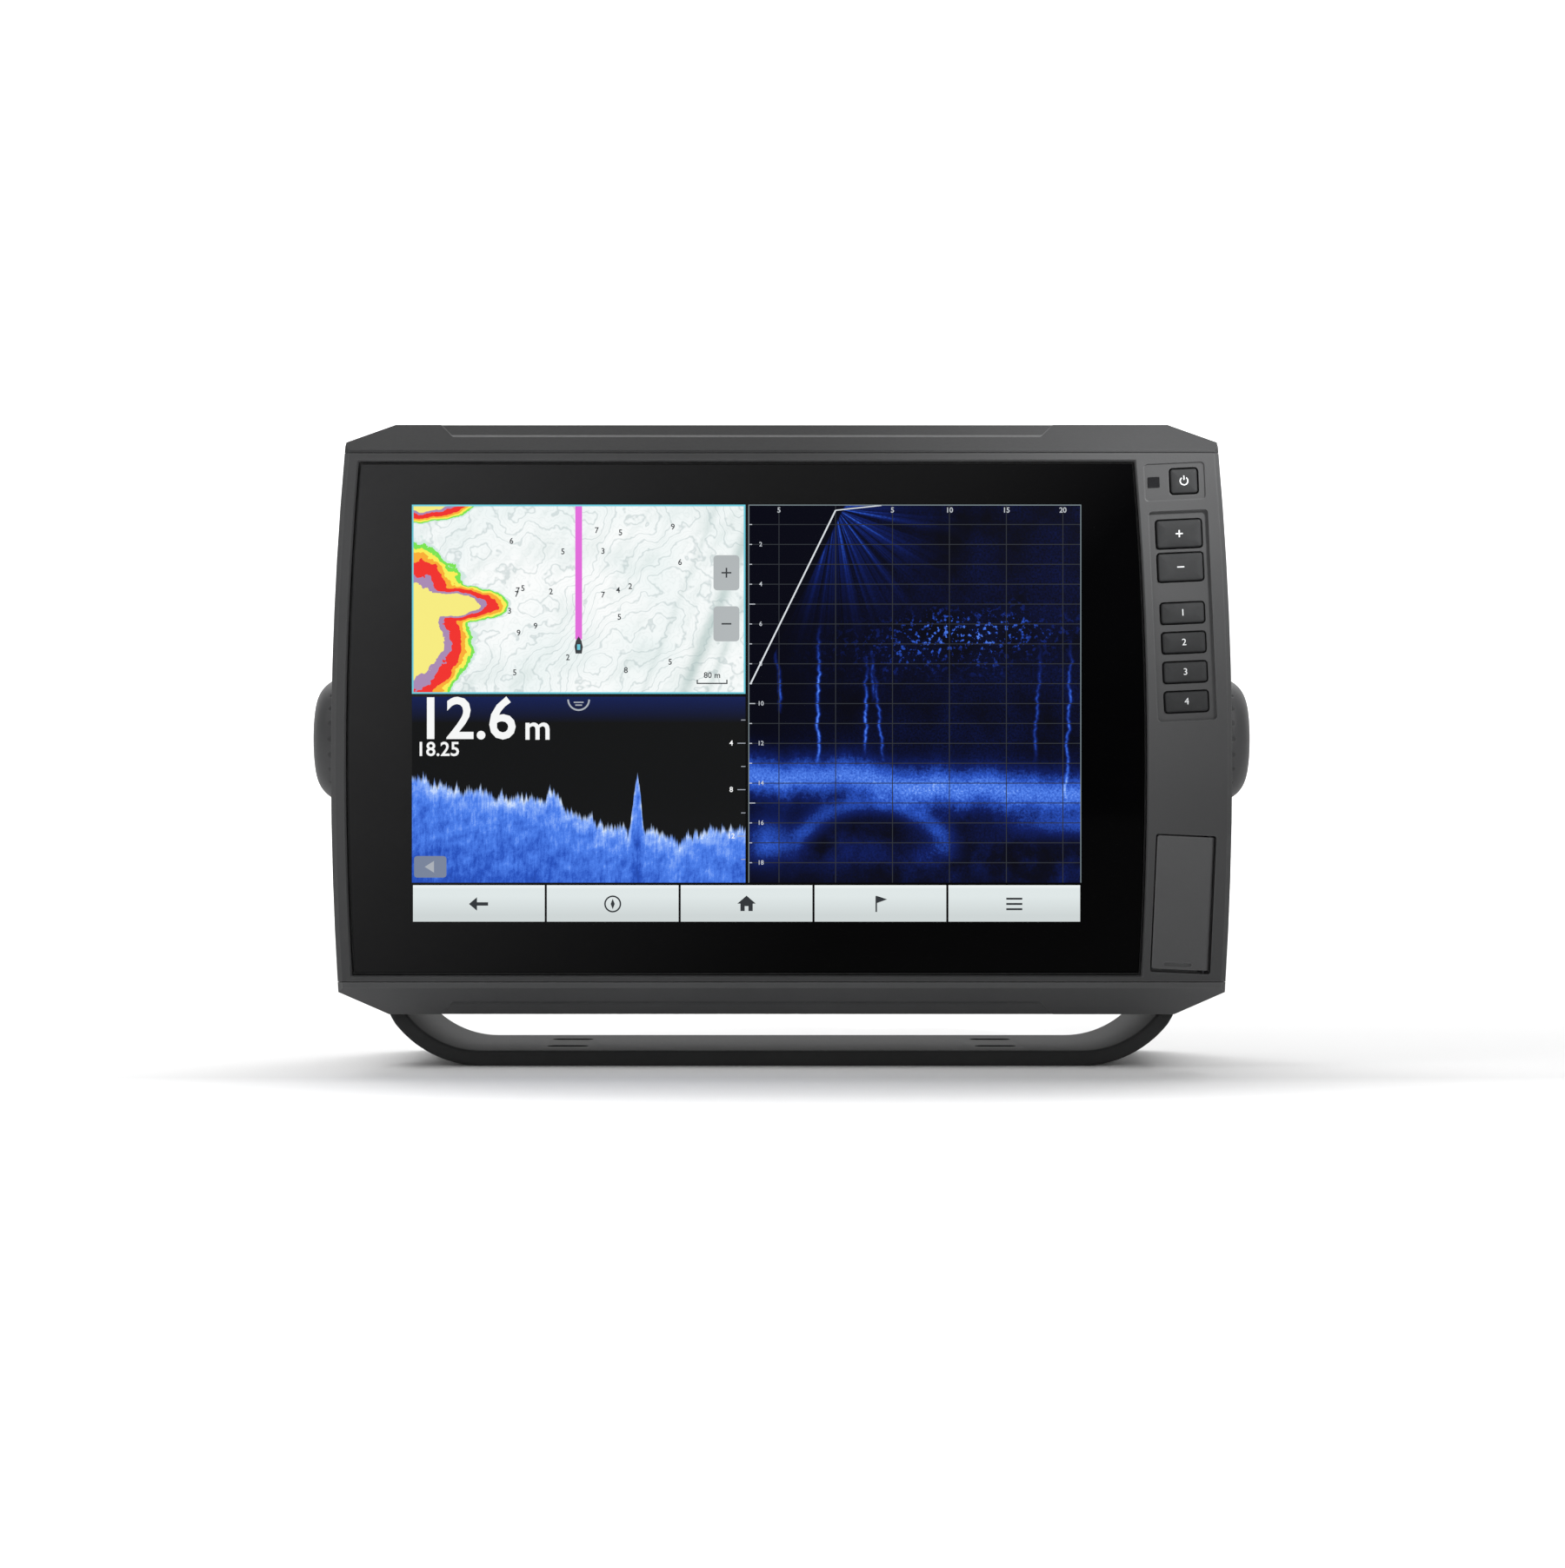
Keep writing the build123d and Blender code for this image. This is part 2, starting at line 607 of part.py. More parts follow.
def screw_points():
    """The six housing screws, in the corners and halfway up the sides."""
    rows = [
        (CASE_BOTTOM + LOW_SCREW_RISE, SCREW_IN),
        (BOW_Z, SCREW_IN),
        (CASE_TOP - TOP_SCREW_DROP, TOP_SCREW_IN),
    ]
    return [(side * (side_half(z) - inset), z) for z, inset in rows for side in (-1, 1)]


def lcd_screw_points():
    half_w = OPENING[0] / 2 + LCD_TAB / 2
    return [
        (GLASS_CX + sx * half_w, ACTIVE_Z + sz * (PANEL[1] / 2 - LCD_TAB))
        for sx in (-1, 1)
        for sz in (-1, 1)
    ]


def seal_ring():
    return shrunk(SEAL_IN) - shrunk(SEAL_IN + SEAL_W)


def door_face(grow, finger):
    """The door's outline, larger by grow, with more room at its lower edge."""
    w, h = DOOR[0] + 2 * grow, DOOR[1] + 2 * grow + finger
    return DOOR_FRAME.place(0, -finger / 2, RectangleRounded(w, h, 0.8))


def card_bay_face(grow):
    size = [s + 2 * grow for s in CARD_BAY]
    return DOOR_FRAME.place(-CARD_BAY_OFF, 0, Rectangle(*size))


def door_pin_place():
    """Across the door to its hinge pin, and the pin's depth."""
    return DOOR[0] / 2 - HINGE_R, FRONT_Y + HINGE_R


def key_cavity_face(shrink):
    middle = (POWER_Z + POWER_FIELD[1] / 2 + BAY_Z - BAY[1] / 2) / 2
    size = [s - 2 * shrink for s in KEY_CAVITY]
    return BAY_FRAME.place(0, middle - BAY_Z, Rectangle(*size))


def front_bezel():
    """The front frame: glass ledge, key panel, card bay and rear rim."""
    bezel = case_block() & height_band(BOTTOM_SPLIT, TOP_SPLIT)
    bezel += trim_core()
    # room behind the glass, the panel opening and the glass's pocket
    cavity = slab(shrunk(RIM_W), LEDGE_BACK_Y, BEZEL_BACK_Y)
    tube_back = FRONT_Y + CARD_BAY_D
    bezel -= cavity
    bezel += slab(card_bay_face(CARD_BAY_WALL), LEDGE_Y, tube_back)
    bezel -= slab(panel_face(OPENING), FRONT_Y, BEZEL_BACK_Y)
    bezel -= slab(glass_face(GLASS_GAP), FRONT_Y - 1, LEDGE_Y)
    lip = slab(glass_face(GLASS_GAP + GLASS_LIP), FRONT_Y - 1, FRONT_Y)
    lip_edges = extrude(lip.faces().sort_by(Axis.Y)[-1], amount=GLASS_LIP, taper=45)
    bezel -= lip_edges
    for x, z in lcd_screw_points():
        bezel -= rod_y(x, LEDGE_Y, LEDGE_BACK_Y, z, LCD_SCREW_R)
    # key panel
    bezel -= slab(key_cavity_face(0), WALL_BACK_Y, BEZEL_BACK_Y)
    bezel -= slab(
        BAY_FRAME.place(0, 0, RectangleRounded(*BAY, BAY_RADIUS)), FRONT_Y - 1, FRONT_Y + BAY_DEPTH
    )
    bezel -= slab(
        POWER_FRAME.place(0, 0, RectangleRounded(*POWER_FIELD, BAY_RADIUS)),
        FRONT_Y - 1,
        FRONT_Y + POWER_FIELD_DEPTH,
    )
    bezel -= slab(POWER_FRAME.place(-SENSOR_OFF, 0, Rectangle(*SENSOR)), FRONT_Y, WALL_BACK_Y)
    for key in all_keys():
        bezel -= slab(key_face(key, KEY_GAP), FRONT_Y - 1, WALL_BACK_Y)
    # card door recess, hinge trough, pin holes, seal groove and card bay
    floor_y = FRONT_Y + DOOR_T + DOOR_FLOOR_GAP
    pin_u, pin_y = door_pin_place()
    bezel -= slab(door_face(DOOR_GAP, DOOR_FINGER_GAP - DOOR_GAP), FRONT_Y - 1, floor_y)
    bezel -= DOOR_FRAME.rod(pin_u, 0, pin_y, HINGE_R + HINGE_CLEARANCE, DOOR[1] + 2 * DOOR_GAP)
    bezel -= DOOR_FRAME.rod(pin_u, 0, pin_y, HINGE_PIN_R, DOOR[1] + 2 * DOOR_GAP + 2 * PIN_EMBED)
    bezel -= slab(door_seal_face(), floor_y, floor_y + DOOR_SEAL_GAP)
    bezel -= slab(card_bay_face(0), FRONT_Y, tube_back)
    # rear rim
    bezel -= slab(seal_ring(), BEZEL_BACK_Y - SEAL_D, BEZEL_BACK_Y)
    for x, z in screw_points():
        bezel -= rod_y(x, BEZEL_BACK_Y - SCREW_DEPTH, BEZEL_BACK_Y, z, SCREW_R)
    return bezel


def cover_glass():
    glass = slab(glass_face(0), GLASS_FRONT_Y, GLASS_BACK_Y)
    return chamfer(glass.faces().sort_by(Axis.Y)[0].edges(), 0.3)


def glass_adhesive():
    return slab(glass_face(-1.0) - panel_face(OPENING), GLASS_BACK_Y, LEDGE_Y)


def optical_bond():
    return slab(panel_face(PANEL), GLASS_BACK_Y, LCD_Y)


def lcd_panel():
    return slab(panel_face(PANEL), LCD_Y, BACKLIGHT_Y)


def backlight():
    return slab(panel_face(PANEL), BACKLIGHT_Y, FRAME_Y)


def lcd_frame():
    """A pressed pan round the panel, with four tabs screwed to the ledge."""
    outer = [s + 2 * LCD_FRAME_T for s in PANEL]
    frame = slab(panel_face(outer), LEDGE_BACK_Y, FRAME_Y + LCD_FRAME_T)
    frame -= slab(panel_face(PANEL), LEDGE_BACK_Y, FRAME_Y)
    for x, z in lcd_screw_points():
        toward = GLASS_CX + math.copysign(outer[0] / 2, x - GLASS_CX)
        away = x + math.copysign(LCD_TAB / 2, x - GLASS_CX)
        span = (min(toward, away), max(toward, away))
        tab_y = (LEDGE_BACK_Y, LEDGE_BACK_Y + LCD_FRAME_T)
        frame += block(span, tab_y, (z - LCD_TAB / 2, z + LCD_TAB / 2))
        frame -= rod_y(x, *tab_y, z, LCD_SCREW_R)
    return frame


def lcd_screws():
    screws = []
    tab_back = LEDGE_BACK_Y + LCD_FRAME_T
    for x, z in lcd_screw_points():
        screw = rod_y(x, LEDGE_Y, tab_back, z, LCD_SCREW_R)
        screws.append(screw + rod_y(x, tab_back, tab_back + 1.2, z, 2 * LCD_SCREW_R))
    return Compound(children=screws)


def key_cap(key):
    """A key: rounded face, body through the bezel's wall, flange behind it."""
    cap = slab(key_face(key, 0), FRONT_Y - KEY_PROUD, KEY_FLANGE_Y + KEY_FLANGE_T)
    cap = fillet(cap.faces().sort_by(Axis.Y)[0].edges(), 0.5)
    return cap + slab(key_face(key, KEY_FLANGE), KEY_FLANGE_Y, KEY_FLANGE_Y + KEY_FLANGE_T)


def sensor_window():
    face = POWER_FRAME.place(-SENSOR_OFF, 0, Rectangle(*SENSOR))
    return slab(face, FRONT_Y + 0.1, WALL_BACK_Y)


def keypad_membrane():
    """Rubber sheet behind the keys, with a rim that seals to wall and board."""
    sheet = slab(key_cavity_face(0.3), WALL_BACK_Y, KEY_BOARD_Y)
    room = key_cavity_face(0.3 + SKIRT_T)
    return sheet - slab(room, WALL_BACK_Y, MEMBRANE_Y) - slab(room, SWITCH_Y, KEY_BOARD_Y)


def key_board():
    return slab(key_cavity_face(0.3), KEY_BOARD_Y, KEY_BOARD_Y + KEY_BOARD_T)


def tact_switches():
    switches = []
    for _, frame, u, v, _ in all_keys():
        face = frame.place(u, v, Rectangle(SWITCH_W, SWITCH_W))
        switches.append(slab(face, SWITCH_Y, KEY_BOARD_Y))
    return Compound(children=switches)


# ---------------------------------------------------------------- card door
def card_door_panel():
    """Flush door. Its outer edge is rounded about the hinge pin."""
    pin_u, pin_y = door_pin_place()
    door = slab(door_face(0, 0), FRONT_Y, FRONT_Y + DOOR_T)
    past_pin = DOOR_FRAME.place(pin_u + DOOR[0] / 2, 0, Rectangle(DOOR[0], 2 * DOOR[1]))
    door -= slab(past_pin, FRONT_Y - 1, FRONT_Y + DOOR_T + 1)
    door += DOOR_FRAME.rod(pin_u, 0, pin_y, HINGE_R, DOOR[1])
    door -= DOOR_FRAME.rod(pin_u, 0, pin_y, HINGE_PIN_R + RUNNING_CLEARANCE, DOOR[1])
    groove = DOOR_FRAME.place(-1, -DOOR[1] / 2 + 1.6, SlotOverall(9, 1.2))
    return door - slab(groove, FRONT_Y - 1, FRONT_Y + 0.5)


def door_pin():
    pin_u, pin_y = door_pin_place()
    return DOOR_FRAME.rod(pin_u, 0, pin_y, HINGE_PIN_R, DOOR[1] + 2 * DOOR_GAP + 2 * PIN_EMBED)


def door_seal_face():
    return card_bay_face(DOOR_SEAL_GAP + DOOR_SEAL_W) - card_bay_face(DOOR_SEAL_GAP)


def card_bay_seal():
    floor_y = FRONT_Y + DOOR_T + DOOR_FLOOR_GAP
    return slab(door_seal_face(), floor_y - DOOR_FLOOR_GAP * 0.75, floor_y + DOOR_SEAL_GAP)


def card_board():
    back = FRONT_Y + CARD_BAY_D
    return slab(card_bay_face(CARD_BAY_WALL), back, back + CARD_BOARD_T)


def card_sockets():
    """Two card sockets standing in the bay, one above the other."""
    back = FRONT_Y + CARD_BAY_D
    front = back - CARD_SOCKET[1]
    sockets = []
    for rise in (-CARD_SOCKET_PITCH / 2, CARD_SOCKET_PITCH / 2):
        body = DOOR_FRAME.place(-CARD_BAY_OFF, rise, Rectangle(CARD_SOCKET[0], CARD_SOCKET[2]))
        mouth = DOOR_FRAME.place(-CARD_BAY_OFF, rise, Rectangle(CARD_SLOT[0], CARD_SLOT[2]))
        sockets.append(slab(body, front, back) - slab(mouth, front, front + CARD_SLOT[1]))
    return Compound(children=sockets)


# ---------------------------------------------------------------- rear housing
def step_face(half_w, z_low, z_high, shrink):
    size = (2 * (half_w - shrink), z_high - z_low - 2 * shrink)
    return Pos(0, (z_low + z_high) / 2) * RectangleRounded(*size, STEP_R - shrink)


def socket_points():
    """The four rear sockets, in a row."""
    z = PIVOT_Z + SOCKET_Z_OFF
    return [((number - 1.5) * SOCKET_SPACING, z) for number in range(4)]


def tongue_points():
    z = PIVOT_Z - STEP2_HALF_H + POCKET_WALL + TONGUE_CLEARANCE + TONGUE[2] / 2 + 1.5
    return [(-TONGUE_X, z), (TONGUE_X, z)]


def board_screw_points():
    x, z = MAIN_BOARD[0] / 2 - 5, MAIN_BOARD[1] / 2 - 5
    return [(sx * x, PIVOT_Z + sz * z) for sx in (-1, 1) for sz in (-1, 1)]


def latch_notch_y():
    """Front and back of the notch that the leaf's nose drops into."""
    nose_front = PLATE_Y - LATCH_REACH - LATCH_T
    return nose_front - NOTCH_GAP, nose_front + LATCH_T + NOTCH_GAP


def rear_housing():
    """A two-step shell with a flange, ribs, board bosses and tongue pockets."""
    low, high = CASE_BOTTOM + STEP1_MARGIN, CASE_TOP - STEP1_MARGIN
    low2, high2 = PIVOT_Z - STEP2_HALF_H, PIVOT_Z + STEP2_HALF_H
    step1 = slab(step_face(STEP1_HALF_W, low, high, 0), BEZEL_BACK_Y, STEP1_BACK_Y)
    step1 = chamfer(step1.faces().sort_by(Axis.Y)[-1].edges(), STEP_CHAMFER)
    step2 = slab(step_face(STEP2_HALF_W, low2, high2, 0), BEZEL_BACK_Y, BACK_Y)
    step2 = chamfer(step2.faces().sort_by(Axis.Y)[-1].edges(), STEP_CHAMFER)
    housing = slab(shrunk(FLANGE_IN), BEZEL_BACK_Y, BEZEL_BACK_Y + FLANGE_T) + step1 + step2

    # cooling ribs on the shelves above and below the rear step
    pitch = 2 * STEP2_HALF_W / (RIB_COUNT + 1)
    for number in range(1, RIB_COUNT + 1):
        x = number * pitch - STEP2_HALF_W
        across = (x - RIB_W / 2, x + RIB_W / 2)
        depth = (STEP1_BACK_Y, STEP1_BACK_Y + RIB_H)
        housing += block(across, depth, (high2, high - 2 * STEP_CHAMFER))
        housing += block(across, depth, (low + 2 * STEP_CHAMFER, low2))

    inside_back1 = STEP1_BACK_Y - HOUSING_WALL
    inside_back2 = BACK_Y - HOUSING_WALL
    wall = HOUSING_WALL
    housing -= slab(step_face(STEP1_HALF_W, low, high, wall), BEZEL_BACK_Y, inside_back1)
    housing -= slab(step_face(STEP2_HALF_W, low2, high2, wall), BEZEL_BACK_Y, inside_back2)

    for x, z in board_screw_points():
        housing += rod_y(x, inside_back2 - BOSS_L, inside_back2, z, BOSS_R)
        housing -= rod_y(x, inside_back2 - BOSS_L, inside_back2, z, SCREW_R)
    for x, z in tongue_points():
        width = TONGUE[0] / 2 + TONGUE_CLEARANCE
        height = TONGUE[2] / 2 + TONGUE_CLEARANCE
        depth = PLATE_Y - TONGUE[1] - 2 * TONGUE_CLEARANCE
        cup = width + POCKET_WALL, height + POCKET_WALL
        housing += block(
            (x - cup[0], x + cup[0]), (depth - POCKET_WALL, inside_back2), (z - cup[1], z + cup[1])
        )
        housing -= block((x - width, x + width), (depth, BACK_Y), (z - height, z + height))
    for x, z in socket_points():
        housing -= rod_y(x, inside_back2, BACK_Y, z, SOCKET_R)
    housing -= vent_hole()
    housing -= block((-LATCH_W, LATCH_W), latch_notch_y(), (high2 - NOTCH_DEPTH, high2))
    for x, z in screw_points():
        housing -= rod_y(x, BEZEL_BACK_Y, BEZEL_BACK_Y + FLANGE_T, z, SCREW_R)
    return housing


def vent_hole():
    x, z = STEP2_HALF_W - VENT_IN, PIVOT_Z + VENT_RISE
    return rod_y(x, BACK_Y - HOUSING_WALL, BACK_Y, z, VENT_R)


def breather_vent():
    """A snap-in vent plug with a slotted head."""
    x, z = STEP2_HALF_W - VENT_IN, PIVOT_Z + VENT_RISE
    radius, thickness = VENT_HEAD
    across, up, deep = VENT_SLOT
    top = BACK_Y + thickness
    head = rod_y(x, BACK_Y, top, z, radius)
    head -= block((x - across / 2, x + across / 2), (top - deep, top), (z - up / 2, z + up / 2))
    return vent_hole() + head


def housing_seal():
    return slab(seal_ring(), BEZEL_BACK_Y - SEAL_D, BEZEL_BACK_Y)


def housing_screws():
    screws = []
    seat = BEZEL_BACK_Y + FLANGE_T
    for x, z in screw_points():
        screw = rod_y(x, BEZEL_BACK_Y - SCREW_DEPTH + SCREW_END_GAP, seat, z, SCREW_R)
        screw += rod_y(x, seat, seat + SCREW_HEAD_T, z, SCREW_HEAD_R)
        hexagon = Pos(x, z) * RegularPolygon(SCREW_R, 6)
        screws.append(screw - slab(hexagon, seat + SCREW_HEAD_T / 2, seat + SCREW_HEAD_T))
    return Compound(children=screws)


def rear_socket(number, pins):
    """A round socket: collar inside, threaded barrel outside, contact pins in its mouth."""
    x, z = socket_points()[number]
    inside = BACK_Y - HOUSING_WALL
    mouth = BACK_Y + SOCKET_OUT
    socket = rod_y(x, inside - SOCKET_COLLAR_T, inside, z, SOCKET_COLLAR_R)
    socket += rod_y(x, inside, mouth, z, SOCKET_R)
    socket -= rod_y(x, BACK_Y + SOCKET_FLOOR, mouth, z, SOCKET_R - SOCKET_WALL)
    for step in range(pins):
        turn = 2 * math.pi * step / pins
        pin_x, pin_z = x + PIN_RING_R * math.cos(turn), z + PIN_RING_R * math.sin(turn)
        socket += rod_y(pin_x, BACK_Y + SOCKET_FLOOR / 2, mouth - PIN_SHORT, pin_z, PIN_R)
    return socket


def socket_caps():
    """A rubber cap over each unused socket."""
    caps = []
    mouth = BACK_Y + SOCKET_OUT
    for x, z in socket_points():
        skirt = PLATE_BACK_Y + CAP_GAP
        cap = rod_y(x, skirt, mouth + CAP_T, z, SOCKET_R + CAP_T)
        cap -= rod_y(x, skirt, mouth, z, SOCKET_R)
        caps.append(fillet(cap.edges().group_by(Axis.Y)[-1], CAP_EDGE_R))
    return Compound(children=caps)


# ---------------------------------------------------------------- electronics
def main_board():
    board = slab(
        Pos(0, PIVOT_Z) * Rectangle(*MAIN_BOARD), BOARD_Y, BOARD_Y + MAIN_BOARD_T
    )
    for x, z in board_screw_points():
        board -= rod_y(x, BOARD_Y, BOARD_Y + MAIN_BOARD_T, z, SCREW_R)
    return board


def board_screws():
    screws = []
    for x, z in board_screw_points():
        screw = rod_y(x, BOARD_Y, BOARD_Y + MAIN_BOARD_T + BOARD_SCREW_GRIP, z, SCREW_R)
        screws.append(screw + rod_y(x, BOARD_Y - SCREW_HEAD_T, BOARD_Y, z, SCREW_HEAD_R))
    return Compound(children=screws)


def thermal_pad():
    back = BOARD_Y + MAIN_BOARD_T
    return slab(Pos(0, CHIP_Z) * Rectangle(PAD_W, PAD_W), back, back + PAD_T)


def heat_spreader():
    front = BOARD_Y + MAIN_BOARD_T + PAD_T
    back = front + SPREADER_T
    plate = slab(Pos(0, CHIP_Z) * Rectangle(*SPREADER), front, back)
    foot_x = (SPREADER[0] - SPREADER_FOOT_W) / 2
    for x in (-foot_x, foot_x):
        foot = Pos(x, CHIP_Z) * Rectangle(SPREADER_FOOT_W, SPREADER[1])
        plate += slab(foot, back, BACK_Y - HOUSING_WALL)
    return plate


def gnss_antenna():
    face = Pos(-MAIN_BOARD[0] / 4, CHIP_Z) * Rectangle(ANTENNA[0], ANTENNA[0])
    return slab(face, BOARD_Y - ANTENNA[1], BOARD_Y)


def buzzer():
    return rod_y(MAIN_BOARD[0] / 4, BOARD_Y - BUZZER_T, BOARD_Y, CHIP_Z, BUZZER_R)


def ribbon(x, half_w, z_front, y_front, y_back):
    """A flat flex: one foot on a front surface, one on the main board."""
    foot = RIBBON_FOOT
    parts = block((x - half_w, x + half_w), (y_front, y_back), (z_front, z_front + RIBBON_T))
    parts += block(
        (x - half_w, x + half_w), (y_front, y_front + RIBBON_T), (z_front, z_front + foot)
    )
    parts += block(
        (x - half_w, x + half_w), (y_back - RIBBON_T, y_back), (z_front - foot, z_front + RIBBON_T)
    )
    return parts


def display_ribbon():
    z = PIVOT_Z - DISPLAY_RIBBON_DROP
    return ribbon(0, DISPLAY_RIBBON_HALF_W, z, FRAME_Y + LCD_FRAME_T, BOARD_Y)


def key_ribbon():
    """A flex from the key board's back, across behind the panel, to the main board."""
    x_far = BAY_FRAME.x
    z = BAY_Z - KEY_RIBBON_DROP
    front = KEY_BOARD_Y + KEY_BOARD_T
    run_y = FRAME_Y + LCD_FRAME_T + RIBBON_CLEARANCE
    height = (z - KEY_RIBBON_HALF_H, z + KEY_RIBBON_HALF_H)
    strip = block((x_far, x_far + RIBBON_T), (front, run_y), height)
    foot_in = x_far - KEY_RIBBON_FOOT
    strip += block((foot_in, x_far + RIBBON_T), (front, front + RIBBON_T), height)
    x_board = MAIN_BOARD[0] / 2 - KEY_RIBBON_IN
    strip += block((x_board, x_far + RIBBON_T), (run_y, run_y + RIBBON_T), height)
    strip += block((x_board, x_board + RIBBON_T), (run_y, BOARD_Y), height)
    foot_in = x_board - KEY_RIBBON_FOOT
    return strip + block((foot_in, x_board + RIBBON_T), (BOARD_Y - RIBBON_T, BOARD_Y), height)


# ---------------------------------------------------------------- cradle
def cradle_shell():
    """Back plate with a rim, pivot ears, tongues, lever lugs and a socket window."""
    plate_face = RectangleRounded(2 * CRADLE_HALF_W, 2 * CRADLE_HALF_H, CRADLE_R)
    inner = (2 * (CRADLE_HALF_W - CRADLE_RIM_T), 2 * (CRADLE_HALF_H - CRADLE_RIM_T))
    rim_face = plate_face - RectangleRounded(*inner, CRADLE_R - CRADLE_RIM_T)
    rim_back = PLATE_BACK_Y + CRADLE_RIM_D
    cradle = slab(Pos(0, PIVOT_Z) * plate_face, PLATE_Y, PLATE_BACK_Y)
    cradle += slab(Pos(0, PIVOT_Z) * rim_face, PLATE_BACK_Y, rim_back)

    for side in (-1, 1):
        ear = rod_x(side * EAR_X_IN, side * EAR_X_OUT, 0, PIVOT_Z, EAR_R)
        back = side_prism(
            [(0, PIVOT_Z - EAR_R), (rim_back, PIVOT_Z - EAR_R), (rim_back, PIVOT_Z + EAR_R),
             (0, PIVOT_Z + EAR_R)],
            min(side * EAR_X_IN, side * EAR_X_OUT),
            max(side * EAR_X_IN, side * EAR_X_OUT),
        )
        cradle += ear + back
        cradle -= rod_x(side * EAR_X_IN, side * EAR_X_OUT, 0, PIVOT_Z, INSERT_R)

    window = RectangleRounded(*WINDOW, WINDOW_R)
    cradle -= slab(Pos(0, PIVOT_Z + SOCKET_Z_OFF) * window, PLATE_Y, PLATE_BACK_Y)
    for x, z in tongue_points():
        across, up = TONGUE[0] / 2, TONGUE[2] / 2
        cradle += block((x - across, x + across), (PLATE_Y - TONGUE[1], PLATE_Y), (z - up, z + up))

    # lugs for the lever's pin, and the gap in the rim and plate for the lever
    lug_in = LEVER_HALF_W + LUG_GAP
    gap_low = LEVER_PIN_Z - LEVER_HUB_R - LUG_MARGIN
    cradle -= block(
        (-lug_in, lug_in), (PLATE_BACK_Y, rim_back), (CRADLE_TOP - CRADLE_RIM_T, CRADLE_TOP)
    )
    for side in (-1, 1):
        span = sorted((side * lug_in, side * (lug_in + LUG_T)))
        reach = LEVER_PIN_Y + LEVER_HUB_R + LUG_MARGIN
        lug_top = CRADLE_TOP - CRADLE_RIM_T
        cradle += block(span, (PLATE_BACK_Y, reach), (gap_low, lug_top))
        toe = sorted((side * (LATCH_W / 2 + TOE_GAP), side * (LATCH_WING_W / 2 + TOE_GAP)))
        cradle -= block(toe, (PLATE_Y, PLATE_BACK_Y), (CRADLE_TOP - TOE_NOTCH, CRADLE_TOP))
    half_pin = lug_in + LUG_T
    cradle -= rod_x(-half_pin, half_pin, LEVER_PIN_Y, LEVER_PIN_Z, LEVER_PIN_R)
    for x in (-LOCK_SCREW_X, LOCK_SCREW_X):
        cradle -= rod_y(x, PLATE_Y, PLATE_BACK_Y, lock_bar_z(), SCREW_R)
    return cradle


def pivot_inserts():
    """A brass insert in each ear, for the knob's stud."""
    inserts = []
    for side in (-1, 1):
        ends = side * EAR_X_IN, side * EAR_X_OUT
        insert = rod_x(*ends, 0, PIVOT_Z, INSERT_R)
        inserts.append(insert - rod_x(*ends, 0, PIVOT_Z, STUD_R + RUNNING_CLEARANCE))
    return Compound(children=inserts)


def lock_bar_z():
    return PIVOT_Z + SOCKET_Z_OFF - WINDOW[1] / 2 - LOCK_BAR[2] / 2 - LOCK_BAR_GAP


def cable_lock_bar():
    """A bar below the window, with a saddle under each socket for its cable."""
    z = lock_bar_z()
    back = PLATE_BACK_Y + LOCK_BAR[1]
    half = LOCK_BAR[0] / 2
    up = LOCK_BAR[2] / 2
    bar = block((-half, half), (PLATE_BACK_Y, back), (z - up, z + up))
    for x, _ in socket_points():
        across, deep, tall = SADDLE
        ends = (x - across / 2, x + across / 2)
        saddle = block(ends, (back, back + deep), (z - up, z - up + tall))
        saddle -= rod_y(x, back, back + deep, z - up + SADDLE_DIP_RISE, SADDLE_DIP_R)
        bar += saddle
    for x in (-LOCK_SCREW_X, LOCK_SCREW_X):
        bar -= rod_y(x, PLATE_BACK_Y, back, z, SCREW_R)
    return bar


def lock_bar_screws():
    screws = []
    back = PLATE_BACK_Y + LOCK_BAR[1]
    for x in (-LOCK_SCREW_X, LOCK_SCREW_X):
        screw = rod_y(x, PLATE_Y + 0.3, back, lock_bar_z(), SCREW_R)
        screws.append(screw + rod_y(x, back, back + SCREW_HEAD_T, lock_bar_z(), SCREW_HEAD_R))
    return Compound(children=screws)


def latch_spring():
    """A steel leaf on the plate's back, bent over its top edge, with a nose and two wings."""
    half = LATCH_W / 2
    top = CRADLE_TOP + LATCH_LIFT
    nose_y = PLATE_Y - LATCH_REACH
    step_top = PIVOT_Z + STEP2_HALF_H
    back = PLATE_BACK_Y + LATCH_T
    leaf = block((-half, half), (PLATE_BACK_Y, back), (CRADLE_TOP - LATCH_LEG, top))
    leaf += block((-half, half), (nose_y, back), (top - LATCH_T, top))
    wing = LATCH_WING_W / 2
    leaf += block((-wing, wing), (nose_y + WING_IN, PLATE_Y + WING_IN), (top - LATCH_T, top))
    nose_low = step_top - NOTCH_DEPTH + NOSE_GAP
    return leaf + block((-half, half), (nose_y - LATCH_T, nose_y), (nose_low, top))


def lever_pin():
    half_pin = LEVER_HALF_W + LUG_GAP + LUG_T
    return rod_x(-half_pin, half_pin, LEVER_PIN_Y, LEVER_PIN_Z, LEVER_PIN_R)


